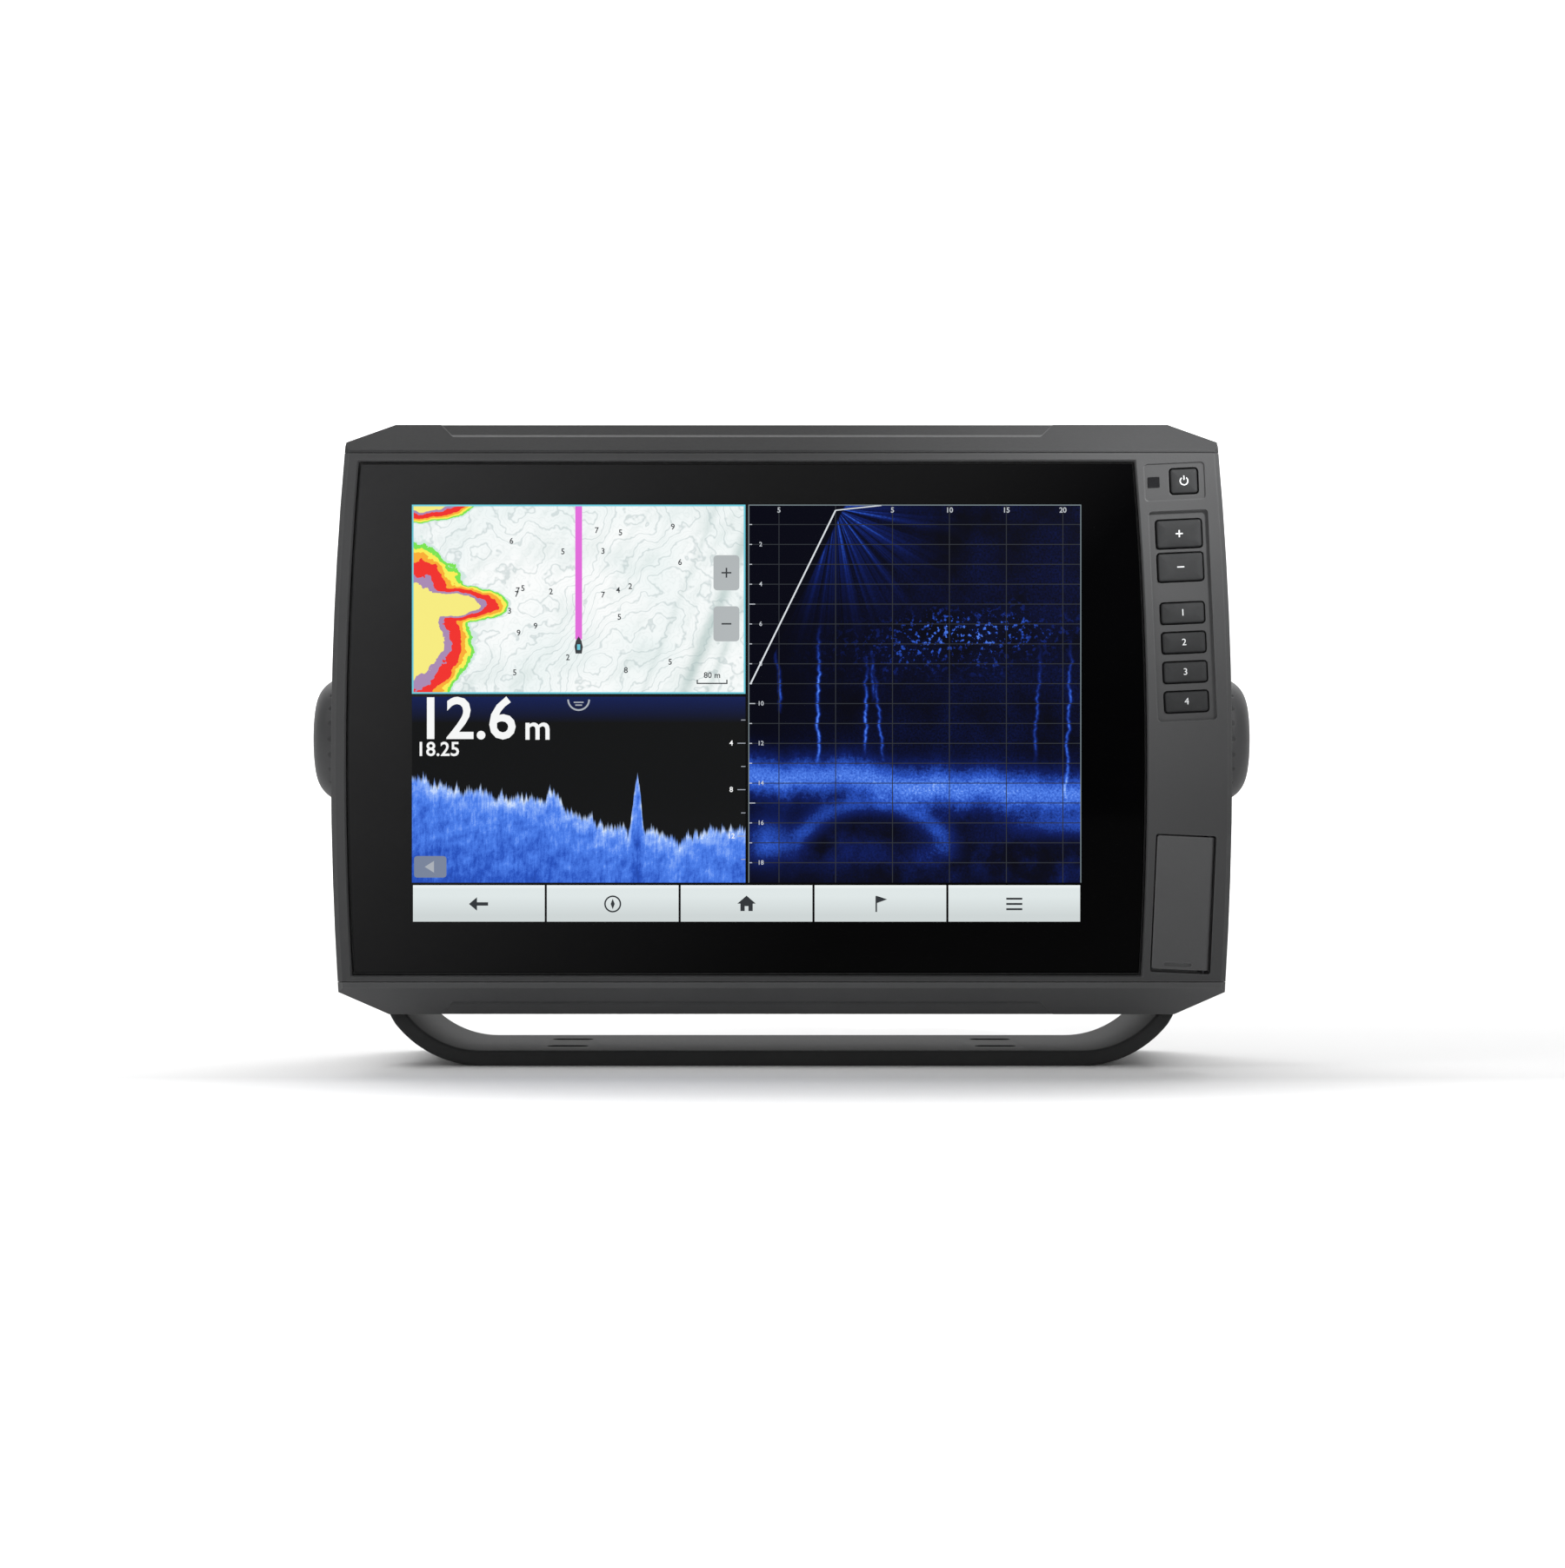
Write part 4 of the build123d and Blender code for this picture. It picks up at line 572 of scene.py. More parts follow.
def key_face_size(node):
    """Centre, width and height of a key's visible face, without its flange or its lean."""
    low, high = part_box(node)
    wide, tall = high.x - low.x, high.z - low.z
    c, s = math.cos(COLUMN_TILT), math.sin(COLUMN_TILT)
    span = c * c - s * s
    w = (wide * c - tall * s) / span - 2 * KEY_FLANGE
    h = (tall * c - wide * s) / span - 2 * KEY_FLANGE
    return (low.x + high.x) / 2, (low.z + high.z) / 2, w, h


def crowned_key(node):
    """A soft key: domed face, rounded shoulder, straight skirt and hidden flange."""
    cx, cz, w, h = key_face_size(node)
    low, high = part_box(node)
    front = low.y + FACE_SINK
    levels = [
        # (inset from the skirt, depth behind the face's crown)
        (-KEY_FLANGE, high.y - front),
        (-KEY_FLANGE, high.y - front - 0.7 * MM),
        (0.0, high.y - front - 0.7 * MM),
        (0.0, 0.85 * MM),
        (0.10 * MM, 0.58 * MM),
        (0.30 * MM, 0.40 * MM),
        (0.62 * MM, CROWN),
        (1.6 * MM, CROWN * 0.45),
        (2.7 * MM, CROWN * 0.12),
    ]
    bm = bmesh.new()
    loops = []
    for inset, depth in levels:
        radius = max(0.25 * MM, 0.9 * MM - inset)
        outline = round_rect(cx, cz, w - 2 * inset, h - 2 * inset, radius, COLUMN_TILT, 6)
        loops.append([bm.verts.new((x, front + depth, z)) for x, z in outline])
    for a, b in zip(loops, loops[1:]):
        for i in range(len(a)):
            j = (i + 1) % len(a)
            bm.faces.new((a[i], a[j], b[j], b[i]))
    bm.faces.new(loops[0])
    bm.faces.new(loops[-1])
    mesh = mesh_from(bm, node + "_shape", math.radians(50))
    body = frame["nodes"][node]["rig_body"]
    obj = add(node.replace("_cap", "_button"), mesh, key_rubber, body)
    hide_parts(node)
    return cx, cz, front, body


def leaning(cx, cz, points):
    """Points about a key's centre, turned to the key column's lean."""
    c, s = math.cos(COLUMN_TILT), math.sin(COLUMN_TILT)
    return [(cx + u * c - v * s, cz + u * s + v * c) for u, v in points]


def legend_shapes(node):
    """A key's printed mark as outlines about its centre, or a figure."""
    if node.startswith("power"):
        arc = ring(0, 0, 1.25 * MM, 0.36 * MM, 125, 415, 28)
        return arc + [rect(-0.18 * MM, 0.18 * MM, 0.35 * MM, 1.75 * MM)]
    if node.startswith("zoom"):
        return sign(0, 0, 1.15 * MM, 0.2 * MM, node.startswith("zoom_in"))
    return []


def make_keys():
    print_white = legend_paint()
    for node in KEYS:
        cx, cz, front, body = crowned_key(node)
        top = front - LEGEND_T
        shapes = [leaning(cx, cz, shape) for shape in legend_shapes(node)]
        if shapes:
            mesh = mesh_from(plate(shapes, top, front + CROWN), node + "_mark")
        else:
            figure = node.split("_")[1]
            mesh = numerals(figure, cx, cz, 2.2 * MM, top, front + CROWN, COLUMN_TILT)
        add(node.replace("_cap", "_legend"), mesh, print_white, body)


def legend_paint():
    """Backlit key print: pale, slightly uneven."""
    p = Paint("legend_print")
    at = p.place()[3]
    fleck = p.noise(at, 4000.0, 2.0, 0.6)
    p.set(Base_Color=p.mix(fleck, (0.50, 0.51, 0.52), (0.66, 0.67, 0.68)), Roughness=0.5 + fleck * 0.2)
    return p.material


# ---------------- screen picture
PANEL_LOW, PANEL_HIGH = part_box("lcd_panel")
PANEL_BORDER = 5.5 * MM
LIT_X0, LIT_X1 = PANEL_LOW.x + PANEL_BORDER, PANEL_HIGH.x - PANEL_BORDER
LIT_Z0, LIT_Z1 = PANEL_LOW.z + PANEL_BORDER, PANEL_HIGH.z - PANEL_BORDER
LIT_W, LIT_H = LIT_X1 - LIT_X0, LIT_Z1 - LIT_Z0
LAYER = 0.035 * MM                  # each layer of the picture lies this far in front of the last


def layer_y(number):
    """Front and back of one layer of the picture."""
    return GLASS_LOW.y - (number + 1) * LAYER, GLASS_LOW.y - number * LAYER


class Pane:
    """One window of the picture, from shares of the lit area, with its own 0 to 1 places."""

    def __init__(self, u0, u1, v0, v1):
        self.x0, self.x1 = LIT_X0 + u0 * LIT_W, LIT_X0 + u1 * LIT_W
        self.z0, self.z1 = LIT_Z0 + v0 * LIT_H, LIT_Z0 + v1 * LIT_H
        self.w, self.h = self.x1 - self.x0, self.z1 - self.z0

    def at(self, u, v):
        return self.x0 + u * self.w, self.z0 + v * self.h

    def outline(self):
        return rect(self.x0, self.x1, self.z0, self.z1)

    def border(self, edge, sill):
        """Strips along the pane's edges, with its lower one only if sill is true."""
        inner = self.x0 + edge, self.x1 - edge
        strips = [rect(self.x0, inner[0], self.z0, self.z1), rect(inner[1], self.x1, self.z0, self.z1)]
        if sill:
            strips.append(rect(*inner, self.z0, self.z0 + edge))
        return strips + [rect(*inner, self.z1 - edge, self.z1)]

    def uv(self, p):
        """The shaded point's place in this pane, as two values."""
        x, _, z, _ = p.place()
        return (x - self.x0) * (1 / self.w), (z - self.z0) * (1 / self.h)


GUTTER = 0.0022
SPLIT_U, SPLIT_V, BAR_V = 0.5005, 0.544, 0.0925
CHART = Pane(0.0, SPLIT_U - GUTTER, SPLIT_V + GUTTER * 1.6, 1.0)
SONAR = Pane(0.0, SPLIT_U - GUTTER, BAR_V + GUTTER * 1.6, SPLIT_V - GUTTER * 1.6)
SCAN = Pane(SPLIT_U + GUTTER, 1.0, BAR_V + GUTTER * 1.6, 1.0)
BAR = Pane(0.0, 1.0, 0.0, BAR_V - GUTTER * 1.2)


def lit_plate(name, outlines, layer, material):
    front, back = layer_y(layer)
    mesh = mesh_from(plate(outlines, front, back), name)
    return add(name, mesh, material, "display")


FIGURE_BOLD = 0.02                  # strokes thickened by this share of the height


def lit_figures(name, words, layer, material):
    """Several figures as one piece: (text, x, z, height, align) each."""
    front, back = layer_y(layer)
    meshes = [
        numerals(text, x, z, height, front, back, 0.0, align, FIGURE_BOLD)
        for text, x, z, height, align in words
    ]
    return add(name, join(meshes, name), material, "display")


def flat_glow(name, colour):
    """A plain lit tone, with the panel's own faint unevenness."""
    p = Paint(name)
    at = p.place()[3]
    faint_wash = p.noise(at, 40.0, 2.0, 0.5)
    return glowing(p, p.mix(faint_wash, tuple(c * 0.93 for c in colour), colour))


def chart_paint():
    """A sea chart of nowhere: land and shallows in bands at the left, contours elsewhere."""
    p = Paint("chart_picture")
    u, v = CHART.uv(p)
    flat = p.vector(u * 1.75, 0.0, v)
    rough = p.noise(flat, 7.0, 4.0, 0.55)
    fine = p.noise(flat, 26.0, 3.0, 0.6)

    def blob(cu, cv, ru, rv):
        du, dv = (u - cu) * (1 / ru), (v - cv) * (1 / rv)
        return p.math("SQRT", du * du + dv * dv)

    coast = blob(-0.02, 0.33, 0.155, 0.36).min(blob(0.09, 0.47, 0.155, 0.085))
    coast = coast.min(blob(0.03, 1.04, 0.14, 0.10)) + (rough - 0.5) * 0.62 + (fine - 0.5) * 0.14
    # contours over the rest
    drift = p.noise(flat, 1.7, 5.0, 0.52)
    ridge = (u * 1.15 - v * 0.55 - 0.62) * 3.2
    depth = drift * 7.0 + ridge.bell(0.0, 0.9) * 2.1 + coast * 0.22
    line = ((depth * 2.2).fract() - 0.5).abs().above(0.43, 0.10)
    minor = ((depth * 6.6).fract() - 0.5).abs().above(0.40, 0.16)
    wash = p.noise(flat, 2.6, 3.0, 0.5)
    sea = p.mix(wash.above(0.5, 0.3), (0.97, 0.985, 0.98), (0.86, 0.92, 0.915))
    fells = p.noise(p.vector(u * 3.4 - v * 1.3, 0.0, v * 0.9 + u * 0.3), 3.2, 5.0, 0.62)
    sea = p.mix(fells.above(0.60, 0.20) * 0.42, sea, (0.60, 0.70, 0.68))
    channel = u - v * 0.225
    banks = channel.bell(0.815, 0.020) + channel.bell(0.885, 0.012) * 0.6
    banks = banks + channel.bell(0.69, 0.010) * 0.35
    sea = p.mix((banks * (rough * 1.1 + 0.35)).clamp() * 0.72, sea, (0.44, 0.56, 0.54))
    sea = p.mix(minor * 0.13, sea, (0.42, 0.52, 0.52))
    sea = p.mix(line * 0.36, sea, (0.36, 0.46, 0.47))
    bands = p.ramp(
        coast * 0.5,
        [
            (0.0, (0.93, 0.84, 0.22)),
            (0.365, (0.40, 0.26, 0.46)),
            (0.425, (0.88, 0.035, 0.03)),
            (0.53, (0.95, 0.42, 0.04)),
            (0.575, (0.96, 0.86, 0.10)),
            (0.615, (0.20, 0.78, 0.09)),
            (0.65, (0.66, 0.80, 0.76)),
        ],
        constant=True,
    )
    shore = coast.above(1.36, 0.03)
    return glowing(p, p.mix(shore, bands, sea))


def sonar_paint():
    """A depth sounder's history: dark water over a ragged blue bottom."""
    p = Paint("sonar_picture")
    u, v = SONAR.uv(p)
    along = p.vector(u, 0.0, 0.0)
    ragged = p.noise(along, 42.0, 5.0, 0.78)
    swell = p.noise(along, 4.0, 3.0, 0.5)
    spike = u.bell(0.675, 0.013) * 0.30 + u.bell(0.42, 0.02) * 0.07
    slope = 0.57 - u * 0.42 + (u - 0.8).max(0.0) * 0.70
    bottom = slope + (swell - 0.5) * 0.26 + (ragged - 0.5) * 0.34 + spike
    below = bottom - v
    hit = below.above(0.0, 0.025)
    streak = p.noise(p.vector(u * 14.0, 0.0, v * 1.6 - u * 3.0), 9.0, 4.0, 0.7)
    grain = p.noise(p.vector(u * 2.0, 0.0, v), 190.0, 2.0, 0.6)
    clump = p.noise(p.vector(u * 1.8, 0.0, v * 1.1 - u * 0.5), 11.0, 5.0, 0.68)
    strength = (streak * 0.55 + clump * 0.85 + grain * 0.25 - below * 0.55 - 0.12).clamp()
    bright = (1.0 - below * 9.0).clamp() * ragged
    echo = p.ramp(
        strength + bright * 0.35,
        [
            (0.0, (0.006, 0.018, 0.16)),
            (0.42, (0.020, 0.085, 0.52)),
            (0.66, (0.075, 0.22, 0.85)),
            (0.85, (0.26, 0.44, 0.97)),
            (1.0, (0.70, 0.82, 1.0)),
        ],
    )
    clutter = (v - 0.86).max(0.0) * 3.2 * (0.4 + grain) + (grain.above(0.68, 0.1) * 0.10)
    water = p.mix(clutter.clamp(), (0.0070, 0.0074, 0.0076), (0.010, 0.028, 0.20))
    return glowing(p, p.mix(hit, water, echo))


def scan_paint():
    """A forward-looking scan: rays from one corner, speckle, standing streaks and a bright bed."""
    p = Paint("scan_picture")
    u, v = SCAN.uv(p)
    flat = p.vector(u, 0.0, v * 1.14)
    speck = p.noise(flat, 150.0, 3.0, 0.7)
    mote = p.noise(flat, 60.0, 3.0, 0.65)
    cloud = p.noise(flat, 6.0, 4.0, 0.6)
    swell = p.noise(p.vector(u, 0.0, 0.0), 5.0, 3.0, 0.5)

    # rays fanning from the transducer
    du, dv = u - 0.262, 0.99 - v
    away = p.math("SQRT", du * du + dv * dv)
    angle = p.math("ARCTAN2", du, dv)
    fan = p.noise(p.vector(angle, 0.0, 0.0), 8.0, 3.0, 0.62)
    rays = fan.above(0.54, 0.22) * away.bell(0.0, 0.18) * (0.30 + speck * 0.6)

    # the bed: a bright band, a dimmer echo below it
    bed_v = 0.285 - u * 0.055 + (swell - 0.5) * 0.10
    shaggy = (cloud - 0.5) * 0.05 + (mote - 0.5) * 0.035
    bed = (v - bed_v + shaggy).bell(0.0, 0.050) * (speck * 1.05 + cloud * 0.35)
    across, up = (u - 0.37) * 0.9, (v - 0.015) * 1.14
    arch = p.math("SQRT", across * across + up * up).bell(0.225, 0.030) * v.above(0.09, 0.08)
    patch = u.bell(0.06, 0.07) * v.bell(0.11, 0.06) + u.bell(0.95, 0.14) * v.bell(0.155, 0.03)
    lower = (arch * 0.9 + patch) * (cloud * 0.45 + speck * 0.55 - 0.10).max(0.0)
    deep = (v - bed_v).bell(-0.19, 0.05) * cloud.above(0.55, 0.2) * speck * 0.30

    # standing streaks, each (place across, lowest, highest, lean)
    streaks = None
    for cu, low, high, lean, power in (
        (0.208, 0.33, 0.66, 0.02, 1.0), (0.098, 0.47, 0.62, -0.10, 0.75),
        (0.352, 0.36, 0.58, 0.01, 0.9), (0.405, 0.34, 0.58, -0.14, 0.6),
        (0.862, 0.34, 0.62, 0.05, 0.5), (0.955, 0.24, 0.63, 0.04, 0.7),
        (0.375, 0.50, 0.60, -0.05, 0.8),
    ):
        wobble = p.noise(p.vector(v, cu, 0.0), 26.0, 2.0, 0.6)
        centre = (v - low) * lean + cu + (wobble - 0.5) * 0.030
        trace = (u - centre).bell(0.0, 0.0046) * v.above(low, 0.05) * (1.0 - v.above(high - 0.05, 0.16))
        trace = trace * (mote * 1.6 - 0.15).max(0.0) * power
        streaks = trace if streaks is None else streaks.max(trace)

    # drifting speckle at mid height, to the right
    spread = u.bell(0.66, 0.24) * (v - u * 0.10 + cloud * 0.22).bell(0.69, 0.055)
    shoal = spread * mote.above(0.575, 0.06) * (0.35 + speck) * 1.5
    faint_wash = (u.above(0.30, 0.5) * cloud.above(0.52, 0.3) * speck.above(0.5, 0.3)) * 0.10
    corner = (1.0 - (u * 1.85 - v + 0.46).above(0.0, 0.01))
    total = bed + lower + deep + streaks * 1.05 + shoal * 0.62 + faint_wash + rays
    total = (total * (1.0 - corner * v.above(0.5, 0.05))).clamp()
    colour = p.ramp(
        total,
        [
            (0.0, (0.0010, 0.0012, 0.006)),
            (0.22, (0.004, 0.013, 0.12)),
            (0.50, (0.022, 0.085, 0.52)),
            (0.78, (0.085, 0.23, 0.86)),
            (1.0, (0.30, 0.48, 0.97)),
        ],
    )
    return glowing(p, colour)


def softkey_paint():
    """Pale grey keys, a little darker towards the bottom and round the edge."""
    p = Paint("softkey_picture")
    v = BAR.uv(p)[1]
    tone = p.mix(v.above(0.45, 0.5), (0.62, 0.67, 0.67), (0.74, 0.80, 0.80))
    tone = p.mix(v.above(0.93, 0.04) * 0.5, tone, (0.93, 0.96, 0.96))
    return glowing(p, tone)


def chart_details():
    """Course line, boat, soundings, zoom buttons, scale bar and border on the chart."""
    cyan = flat_glow("border_cyan", (0.16, 0.60, 0.72))
    magenta = flat_glow("course_magenta", (0.80, 0.16, 0.74))
    ink = flat_glow("chart_ink", (0.05, 0.055, 0.06))
    grey = flat_glow("button_grey", (0.46, 0.49, 0.50))
    edge = 0.55 * MM
    lit_plate("chart_border", CHART.border(edge, True), 2, cyan)
    bx, bz = CHART.at(0.500, 0.255)
    course = rect(bx - 1.1 * MM, bx + 1.1 * MM, bz + 2.0 * MM, CHART.z1 - edge)
    lit_plate("course_line", [course], 1, magenta)
    hull = [(-1.0, -2.6), (1.0, -2.6), (1.35, -0.4), (0.9, 1.6), (0.0, 3.0), (-0.9, 1.6), (-1.35, -0.4)]
    lit_plate("own_boat", [[(bx + a * MM, bz + b * MM) for a, b in hull]], 2, ink)
    cabin = [(-0.5, -1.4), (0.5, -1.4), (0.5, 0.4), (-0.5, 0.4)]
    lit_plate("own_boat_cabin", [[(bx + a * MM, bz + b * MM) for a, b in cabin]], 3, cyan)

    spots = []
    for _ in range(26):
        u, v = rng.uniform(0.27, 0.88), rng.uniform(0.06, 0.93)
        if abs(u - 0.5) < 0.03:
            continue
        x, z = CHART.at(u, v)
        spots.append((str(rng.randint(2, 9)), x, z, 1.9 * MM, "CENTER"))
    lit_figures("soundings", spots, 1, ink)

    for name, v, plus in (("chart_zoom_in", 0.64, True), ("chart_zoom_out", 0.37, False)):
        cx, cz = CHART.at(0.943, v)
        lit_plate(name, [round_rect(cx, cz, 8.4 * MM, 11.4 * MM, 1.2 * MM)], 1, grey)
        lit_plate(name + "_mark", sign(cx, cz, 1.6 * MM, 0.25 * MM, plus), 2, ink)

    sx, sz = CHART.at(0.90, 0.055)
    lit_plate(
        "scale_bar",
        [
            bar(sx, sz, 5 * MM, 0.2 * MM),
            rect(sx - 5 * MM, sx - 4.6 * MM, sz + 0.2 * MM, sz + 1.2 * MM),
            rect(sx + 4.6 * MM, sx + 5 * MM, sz + 0.2 * MM, sz + 1.2 * MM),
        ],
        1, ink,
    )
    lit_figures("scale_figure", [("80 m", sx, sz + 2.6 * MM, 1.9 * MM, "CENTER")], 1, ink)


def sonar_details():
    """Depth reading, its small companions, the side scale and a grey touch button."""
    white = flat_glow("figure_white", (0.96, 0.97, 0.97))
    soft = flat_glow("figure_grey", (0.42, 0.45, 0.50))
    dim = flat_glow("button_dim", (0.20, 0.24, 0.34))
    x, z = SONAR.at(0.012, 0.872)
    big = [("12.6", x, z, 13.6 * MM, "LEFT"), ("m", x + 35.0 * MM, z - 2.6 * MM, 8.2 * MM, "LEFT")]
    x2, z2 = SONAR.at(0.012, 0.715)
    small = [("18.25", x2, z2, 4.6 * MM, "LEFT")]
    lit_figures("depth_reading", big + small, 1, white)

    ticks, words = [], []
    for step in range(1, 8):
        tx, tz = SONAR.at(1.0, 1.0 - step / 8)
        length = (2.6 if step % 2 == 0 else 1.4) * MM
        ticks.append(rect(tx - length, tx, tz - 0.12 * MM, tz + 0.12 * MM))
        if step % 2 == 0:
            words.append((str(step * 2), tx - 4.6 * MM, tz, 1.7 * MM, "CENTER"))
    lit_plate("depth_scale", ticks, 1, soft)
    lit_figures("depth_scale_figures", words, 1, white)

    bx, bz = SONAR.at(0.055, 0.085)
    lit_plate("touch_button", [round_rect(bx, bz, 10.5 * MM, 7.0 * MM, 1.0 * MM)], 1, dim)
    arrow = [(bx - 1.8 * MM, bz), (bx + 1.2 * MM, bz + 1.9 * MM), (bx + 1.2 * MM, bz - 1.9 * MM)]
    lit_plate("touch_button_arrow", [arrow], 2, soft)

    cx, cz = SONAR.at(0.50, 0.985)
    lit_plate("fold_tab", ring(cx, cz, 3.4 * MM, 0.55 * MM, 180, 360, 24), 3, soft)
    bars = [bar(cx, cz - low * MM, half * MM, 0.2 * MM) for half, low in ((1.6, 0.9), (1.1, 1.8))]
    lit_plate("fold_tab_bars", bars, 3, soft)


def scan_details():
    """Grid, range scale, beam edge and border of the scan."""
    grid = flat_glow("grid_grey", (0.030, 0.034, 0.042))
    tone = flat_glow("scan_figure", (0.55, 0.58, 0.62))
    white = flat_glow("beam_white", (0.74, 0.78, 0.82))
    border = flat_glow("pane_border", (0.20, 0.25, 0.27))
    width = 0.28 * MM
    columns = [0.092, 0.262, 0.433, 0.604, 0.775, 0.945]
    lines = []
    for u in columns:
        x, _ = SCAN.at(u, 0)
        lines.append(rect(x - width / 2, x + width / 2, SCAN.z0, SCAN.z1))
    lit_plate("scan_columns", lines, 1, grid)
    rows, ticks, words = [], [], []
    count = 19
    for step in range(1, count):
        _, z = SCAN.at(0, 1.0 - step / count)
        rows.append(rect(SCAN.x0, SCAN.x1, z - width / 2, z + width / 2))
        length = (2.2 if step % 5 == 0 else 1.2) * MM
        ticks.append(rect(SCAN.x0, SCAN.x0 + length, z - 0.14 * MM, z + 0.14 * MM))
        if step % 2 == 0:
            words.append((str(step), SCAN.x0 + 4.0 * MM, z, 1.45 * MM, "CENTER"))
    lit_plate("scan_rows", rows, 2, grid)
    for number, u in enumerate(columns):
        x, z = SCAN.at(u, 0.985)
        if number != 1:
            words.append((str((number - 1) * 5 if number else 5), x, z, 1.7 * MM, "CENTER"))
    lit_plate("scan_ticks", ticks, 3, tone)
    lit_figures("scan_figures", words, 3, tone)
    apex = SCAN.at(0.262, 0.985)
    foot = SCAN.at(0.006, 0.525)
    top = SCAN.at(0.40, 0.998)
    lit_plate("beam_edge", stroke([apex, foot], 0.5 * MM) + stroke([apex, top], 0.35 * MM), 4, white)
    lit_plate("scan_border", SCAN.border(0.3 * MM, False), 4, border)


def softkeys():
    """Five keys along the bottom, with generic pictograms in place of words."""
    ink = flat_glow("softkey_ink", (0.035, 0.04, 0.045))
    pale = softkey_paint()
    count = 5
    gap = 0.35 * MM
    keys, marks = [], []
    for number in range(count):
        x0, x1 = BAR.x0 + BAR.w * number / count, BAR.x0 + BAR.w * (number + 1) / count
        keys.append(rect(x0 + gap, x1 - gap, BAR.z0 + gap, BAR.z1))
        marks += pictogram(number, (x0 + x1) / 2, (BAR.z0 + BAR.z1) / 2)
    lit_plate("softkey_faces", keys, 0, pale)
    lit_plate("softkey_marks", marks, 1, ink)


def pictogram(number, cx, cz):
    """Back arrow, compass, house, flag and three bars."""
    def at(points, scale=MM):
        return [(cx + a * scale, cz + b * scale) for a, b in points]

    if number == 0:
        head = at([(-3.2, 0), (-0.6, 2.2), (-0.6, 0.55), (-0.6, -0.55), (-0.6, -2.2)])
        return [head, at([(-0.6, -0.55), (3.0, -0.55), (3.0, 0.55), (-0.6, 0.55)])]
    if number == 1:
        needle = at([(0, 1.7), (0.65, 0), (0, -1.7), (-0.65, 0)])
        return ring(cx, cz, 2.5 * MM, 0.5 * MM, 0, 360, 32) + [needle]
    if number == 2:
        roof = at([(-3.0, 0.1), (3.0, 0.1), (0, 2.7)])
        walls = [rect(-2.0, -0.6, -2.3, 0.1), rect(0.6, 2.0, -2.3, 0.1), rect(-0.6, 0.6, -0.7, 0.1)]
        return [roof] + [at(w) for w in walls]
    if number == 3:
        return [at(rect(-1.6, -1.1, -2.6, 2.6)), at([(-1.1, 2.6), (2.2, 1.5), (-1.1, 0.3)])]
    return [at(bar(0, b, 2.6, 0.32)) for b in (-1.7, 0.0, 1.7)]


def make_screen():
    lit_plate("picture_chart", [CHART.outline()], 0, chart_paint())
    lit_plate("picture_sonar", [SONAR.outline()], 0, sonar_paint())
    lit_plate("picture_scan", [SCAN.outline()], 0, scan_paint())
    chart_details()
    sonar_details()
    scan_details()
    softkeys()


# ---------------- other visible detail
STRAP_T = 5.0 * MM
STRAP_EDGE_R = 1.1 * MM             # rounded edges of the cut blank
EDGE_STEPS = 5
BEND_R = 31.0 * MM                  # inner radius of the two bends
PIVOT_Z = 108.0 * MM
HEAD_R = 19.0 * MM
PIVOT_HOLE = 6.6 * MM
OVERCUT = 1.0 * MM                  # how far a cutter reaches past the strap
FLARE_FOOT = (36.0 * MM, 16.0 * MM)      # half depth and height where the flare starts
FLARE_MIDDLE = (25.9 * MM, 28.4 * MM)
FLARE_NECK = (21.0 * MM, 46.0 * MM)      # and where it has narrowed to the arm
SLOTS = ((71.7 * MM, 15.0 * MM), (14.0 * MM, 6.0 * MM))     # places (x, y), length and width


def circle_through(a, b, c):
    """Centre and radius of the circle through three points."""
    (ax, ay), (bx, by), (cx, cy) = a, b, c
    d = 2 * (ax * (by - cy) + bx * (cy - ay) + cx * (ay - by))
    aa, bb, cc = ax * ax + ay * ay, bx * bx + by * by, cx * cx + cy * cy
    ux = (aa * (by - cy) + bb * (cy - ay) + cc * (ay - by)) / d
    uy = (aa * (cx - bx) + bb * (ax - cx) + cc * (bx - ax)) / d
    return (ux, uy), math.hypot(ax - ux, ay - uy)


def strap_half_depth(z):
    """Half the strap's depth, front to back, at a height."""
    if z <= FLARE_FOOT[1]:
        return FLARE_FOOT[0]
    if z < FLARE_NECK[1]:
        (cy, cz), radius = circle_through(FLARE_FOOT, FLARE_MIDDLE, FLARE_NECK)
        return cy - math.sqrt(max(0.0, radius ** 2 - (z - cz) ** 2))
    share = (z - FLARE_NECK[1]) / (PIVOT_Z - FLARE_NECK[1])
    return FLARE_NECK[0] + (HEAD_R - FLARE_NECK[0]) * min(1.0, share)


def strap_place(s, n, arm_x):
    """A point of the flat strap, s along it and n outward, on the bent strap: x and z."""
    radius = BEND_R + STRAP_T / 2
    straight = arm_x - STRAP_T / 2 - radius
    side = 1.0 if s >= 0 else -1.0
    s = abs(s)
    if s <= straight:
        return side * s, STRAP_T / 2 - n
    turn = (s - straight) / radius
    if turn < math.pi / 2:
        x = straight + (radius + n) * math.sin(turn)
        return side * x, radius + STRAP_T / 2 - (radius + n) * math.cos(turn)
    rest = s - straight - radius * math.pi / 2
    return side * (straight + radius + n), radius + STRAP_T / 2 + rest


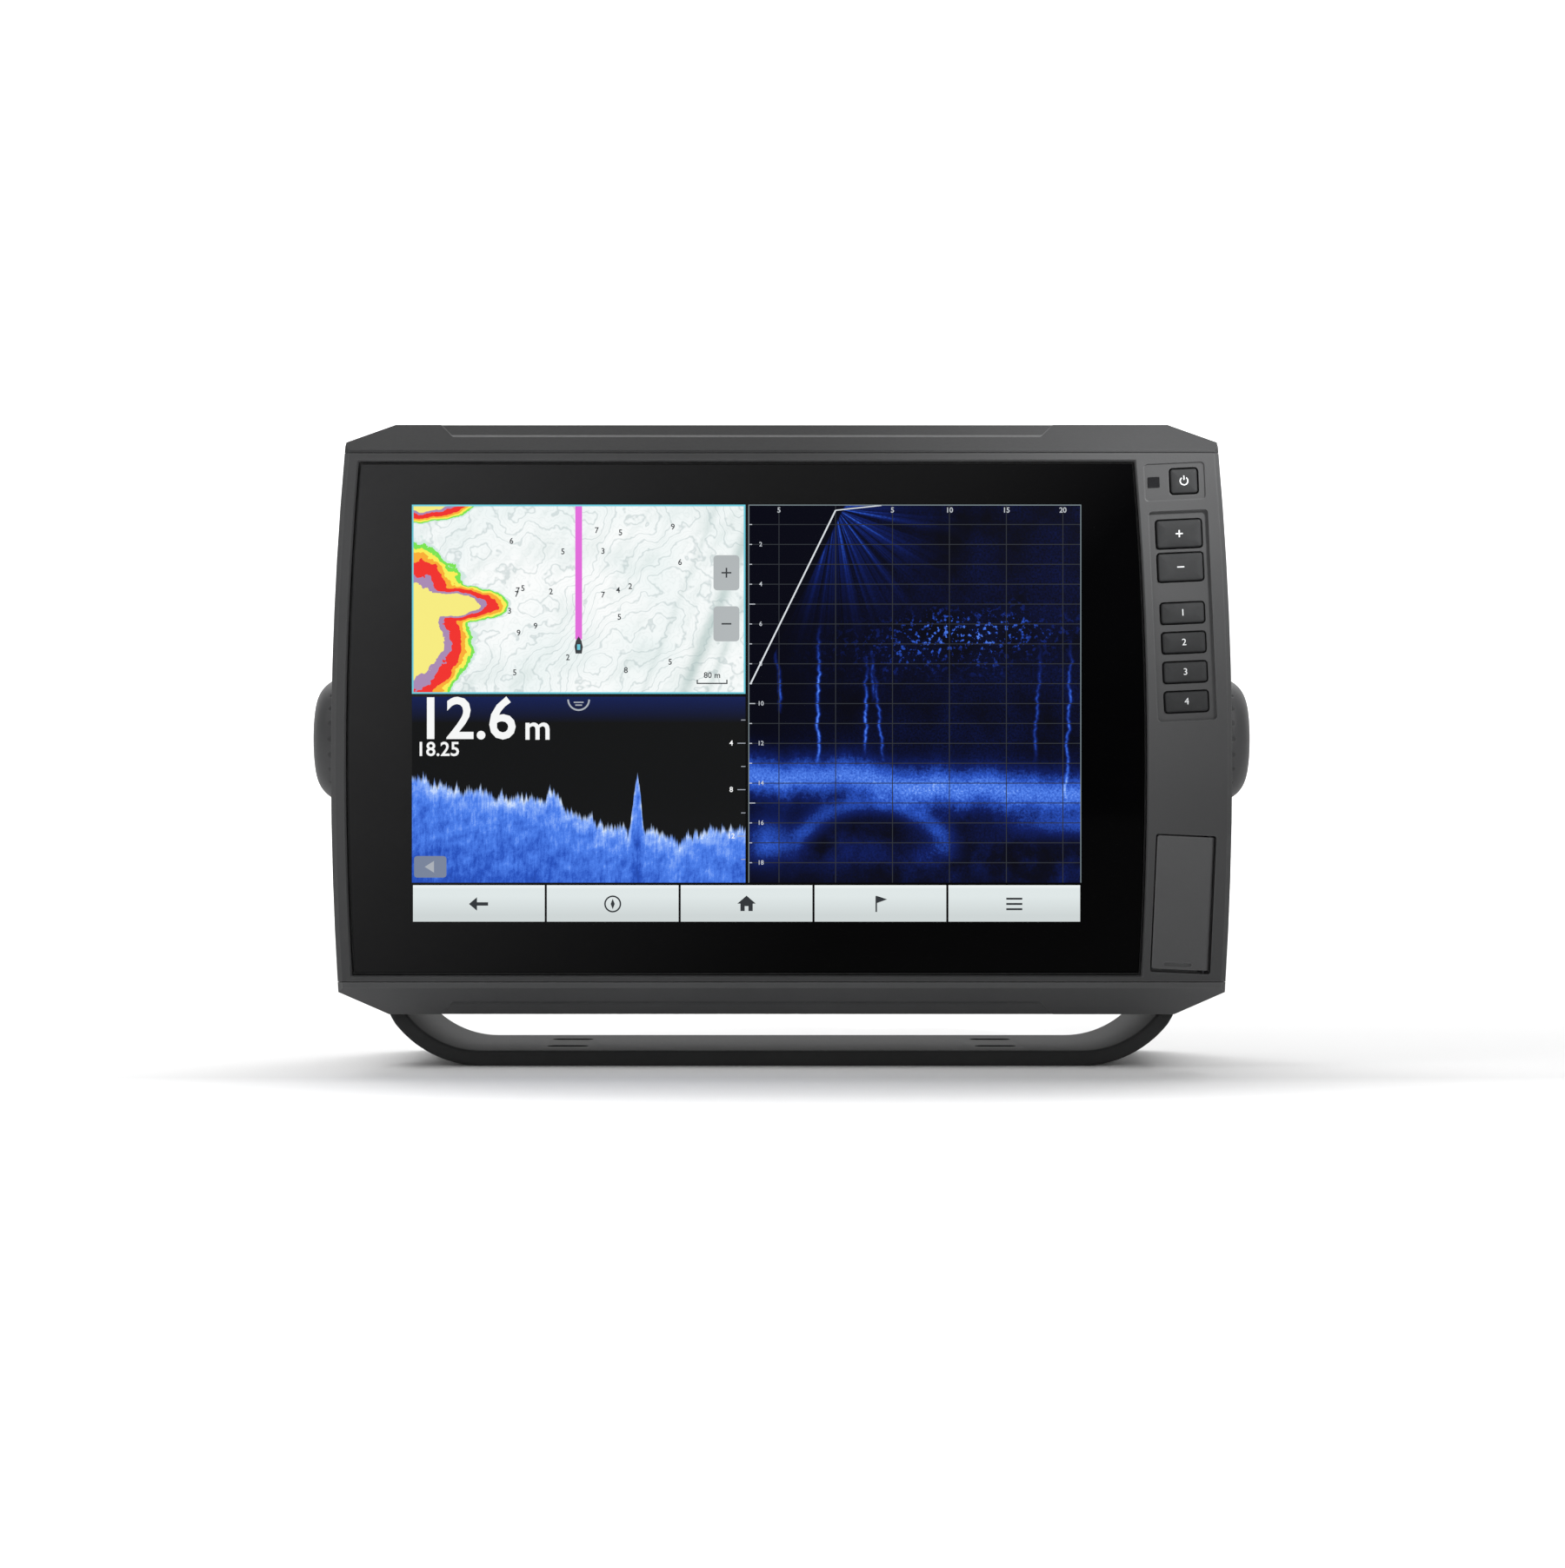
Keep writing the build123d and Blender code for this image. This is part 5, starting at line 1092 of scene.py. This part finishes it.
def strap_stations(arm_x):
    """Half the blank's edge, from the middle of the base to the tip: (s, half depth)."""
    radius = BEND_R + STRAP_T / 2
    straight = arm_x - STRAP_T / 2 - radius
    up = straight + radius * math.pi / 2 - (radius + STRAP_T / 2)   # s less height, on the arm
    stations = [(straight * k / 12, FLARE_FOOT[0]) for k in range(12)]
    for k in range(25):
        s = straight + radius * math.pi / 2 * k / 24
        stations.append((s, strap_half_depth(strap_place(s, 0, arm_x)[1])))
    z = strap_place(stations[-1][0], 0, arm_x)[1]
    while z < PIVOT_Z - 4 * MM:
        z += (1.2 if z < FLARE_NECK[1] + 1 * MM else 6.0) * MM
        stations.append((z + up, strap_half_depth(z)))
    for k in range(21):
        angle = math.radians(90 * k / 20)
        stations.append((PIVOT_Z + HEAD_R * math.sin(angle) + up, HEAD_R * math.cos(angle)))
    return stations


def make_bracket():
    """The bail bracket: a cut blank with rounded edges, bent into a U."""
    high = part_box("mount_bracket")[1]
    half = strap_stations(high.x)
    edge = [(-s, h) for s, h in reversed(half[1:])] + half
    section = []
    for step in range(EDGE_STEPS + 1):
        angle = math.radians(90 - 90 / EDGE_STEPS * step)
        section.append((
            STRAP_EDGE_R * (1 - math.cos(angle)) if step else STRAP_EDGE_R,
            STRAP_T / 2 - STRAP_EDGE_R * (1 - math.sin(angle)),
        ))
    section += [(inset, -n) for inset, n in reversed(section)]
    bm = bmesh.new()
    rings = []
    for i, (s, h) in enumerate(edge):
        before, after = edge[max(0, i - 1)], edge[min(len(edge) - 1, i + 1)]
        ds, dh = after[0] - before[0], after[1] - before[1]
        if i in (0, len(edge) - 1):
            normal = (-1.0 if i == 0 else 1.0, 0.0)
        else:
            length = math.hypot(ds, dh)
            normal = (-dh / length, ds / length)
        loop = []
        for side, points in ((1, section), (-1, reversed(section))):
            for inset, n in points:
                x, z = strap_place(s - normal[0] * inset, n, high.x)
                y = side * max(0.0, h - normal[1] * inset)
                loop.append(bm.verts.new((x, y, z)))
        rings.append(loop)
    for a, b in zip(rings, rings[1:]):
        for k in range(len(a)):
            m = (k + 1) % len(a)
            bm.faces.new((a[k], a[m], b[m], b[k]))
    bmesh.ops.remove_doubles(bm, verts=bm.verts, dist=1e-6)
    blank = mesh_from(bm, "blank")
    (slot_x, slot_y), (slot_l, slot_w) = SLOTS
    cutters = []
    for x in (-slot_x, slot_x):
        for y in (-slot_y, slot_y):
            outline = round_rect(x, y, slot_l, slot_w, slot_w / 2 - 1e-6, 0.0, 10)
            cutters.append(("Z", outline, -STRAP_T, STRAP_T * 2))
    hole = round_rect(0, PIVOT_Z, PIVOT_HOLE, PIVOT_HOLE, PIVOT_HOLE / 2 - 1e-6, 0.0, 8)
    cutters.append(("X", hole, -high.x - OVERCUT, high.x + OVERCUT))
    mesh = carve(blank, cutters, "bracket_strap", 35.0)
    strap = add("bracket_strap", mesh, bracket_coat, "mount")
    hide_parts("mount_bracket")


def carve(mesh, cutters, name, smooth_angle):
    """A mesh less straight cutters, each (axis, outline, from, to), shaded smooth by angle."""
    holder = bpy.data.objects.new("carved", mesh)
    bpy.context.scene.collection.objects.link(holder)
    tools = []
    for axis, outline, start, end in cutters:
        bm = bmesh.new()
        ends = []
        for at in (start, end):
            if axis == "Z":
                ends.append([bm.verts.new((a, b, at)) for a, b in outline])
            else:
                ends.append([bm.verts.new((at, a, b)) for a, b in outline])
        bm.faces.new(list(reversed(ends[0])))
        bm.faces.new(ends[1])
        for i in range(len(outline)):
            j = (i + 1) % len(outline)
            bm.faces.new((ends[0][i], ends[0][j], ends[1][j], ends[1][i]))
        bmesh.ops.remove_doubles(bm, verts=bm.verts, dist=1e-5)
        bmesh.ops.recalc_face_normals(bm, faces=bm.faces)
        tool = bpy.data.objects.new("cutter", mesh_from(bm, "cutter"))
        bpy.context.scene.collection.objects.link(tool)
        tools.append(tool)
        cut = holder.modifiers.new("cut", "BOOLEAN")
        cut.object = tool
        cut.solver = "MANIFOLD"
    bpy.context.view_layer.update()
    graph = bpy.context.evaluated_depsgraph_get()
    carved = bpy.data.meshes.new_from_object(holder.evaluated_get(graph))
    for obj in (holder, *tools):
        old = obj.data
        bpy.data.objects.remove(obj)
        bpy.data.meshes.remove(old)
    bm = bmesh.new()
    bm.from_mesh(carved)
    bpy.data.meshes.remove(carved)
    return mesh_from(bm, name, math.radians(smooth_angle))


# ---------------- stage
PAPER_GLOW = 0.9
GLOW_BEHIND = (1.6, 1.8)            # where the paper starts to glow: y at half way, how soft
# painted light: the floor in front of the display glows, so that the display's shadow fades out within
# a short way; y at half way, how soft
PAINTED_LIGHT_IN_FRONT = (-0.165, 0.17)


def stage_paint(name, colour, rough):
    p = Paint(name)
    _, y, _, at = p.place()
    shade = p.noise(at, 3.0, 3.0, 0.5)
    p.set(Base_Color=p.mix(shade, tuple(c * 0.995 for c in colour), colour), Roughness=rough)
    p.shader.inputs["Specular IOR Level"].default_value = 0.1
    # the wall far behind glows for a white backdrop; the floor in front glows as painted light that
    # cuts the shadow short
    lit = y.above(*GLOW_BEHIND).max(1.0 - y.above(*PAINTED_LIGHT_IN_FRONT))
    p.set(Emission_Color=p.mix(lit, (0.0, 0.0, 0.0), (1.0, 1.0, 1.0)))
    p.shader.inputs["Emission Strength"].default_value = PAPER_GLOW
    return p.material


def make_stage():
    """A pale sweep: floor, a wide curve and a wall behind."""
    half, front, back, height, radius = 9.0, -9.0, 5.0, 6.0, 1.6
    profile = [(front, 0.0), (back - radius, 0.0)]
    for step in range(1, 17):
        angle = math.radians(90 * step / 16)
        profile.append((back - radius + radius * math.sin(angle), radius - radius * math.cos(angle)))
    profile.append((back, height))
    bm = bmesh.new()
    rows = [[bm.verts.new((x, y, z)) for y, z in profile] for x in (-half, half)]
    for i in range(len(profile) - 1):
        bm.faces.new((rows[0][i], rows[1][i], rows[1][i + 1], rows[0][i + 1]))
    mesh = mesh_from(bm, "sweep", math.radians(60))
    paper = stage_paint("sweep_paper", (0.88, 0.88, 0.88), 0.9)
    mesh.materials.append(paper)
    obj = bpy.data.objects.new("sweep", mesh)
    bpy.context.scene.collection.objects.link(obj)


def hang_light(data, place, target, power):
    """Puts a light in the scene, aimed at a point."""
    data.energy = power
    obj = bpy.data.objects.new(data.name, data)
    obj.location = place
    aim = Vector(target) - Vector(place)
    obj.rotation_euler = aim.to_track_quat("-Z", "Y").to_euler()
    bpy.context.scene.collection.objects.link(obj)
    return obj


def softbox(name, place, target, size, power):
    data = bpy.data.lights.new(name, "AREA")
    data.shape = "RECTANGLE"
    data.size, data.size_y = size
    hang_light(data, place, target, power).visible_camera = False


def corner_spot(name, place, target, cone, power):
    data = bpy.data.lights.new(name, "SPOT")
    data.spot_size = math.radians(cone)
    data.spot_blend = 1.0
    data.shadow_soft_size = 0.05
    hang_light(data, place, target, power)


WORLD_STRENGTH = 0.42


def make_lights():
    world = bpy.data.worlds.new("studio")
    world.use_nodes = True
    background = world.node_tree.nodes["Background"]
    background.inputs["Color"].default_value = (1.0, 1.0, 1.0, 1.0)
    background.inputs["Strength"].default_value = WORLD_STRENGTH
    bpy.context.scene.world = world
    softbox("back_top", (0.0, 1.25, 1.75), (0, 0, 0.05), (2.4, 1.2), 34)
    softbox("front_left", (-0.95, -0.75, 1.05), (-0.1, 0, 0.15), (0.5, 0.25), 1.3)
    softbox("front_right", (0.95, -0.75, 1.05), (0.1, 0, 0.15), (0.5, 0.25), 0.3)
    softbox("left_spot", (-0.40, -0.26, 0.44), (-0.12, -0.05, 0.19), (0.16, 0.16), 0.5)
    corner_spot("right_corner", (0.45, -0.45, 0.55), (0.125, -0.054, 0.205), 14.0, 50.0)


LENS = 78.6
CAMERA_X, CAMERA_Z = 0.0003, 0.0929
CAMERA_DISTANCE = 1.110             # from the face of the bezel


def make_camera():
    """Level with the display, square to it, as far as makes its sides look parallel."""
    data = bpy.data.cameras.new("camera")
    data.sensor_width = 36.0
    data.lens = LENS
    data.clip_start = 0.01
    obj = bpy.data.objects.new("camera", data)
    obj.location = (CAMERA_X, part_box("front_bezel")[0].y - CAMERA_DISTANCE, CAMERA_Z)
    obj.rotation_euler = (math.radians(90), 0, 0)
    bpy.context.scene.collection.objects.link(obj)
    bpy.context.scene.camera = obj


make_camera()
dress_cad_nodes()
make_bracket()
make_keys()
make_screen()
make_stage()
make_lights()
bpy.context.scene.view_settings.view_transform = "Standard"
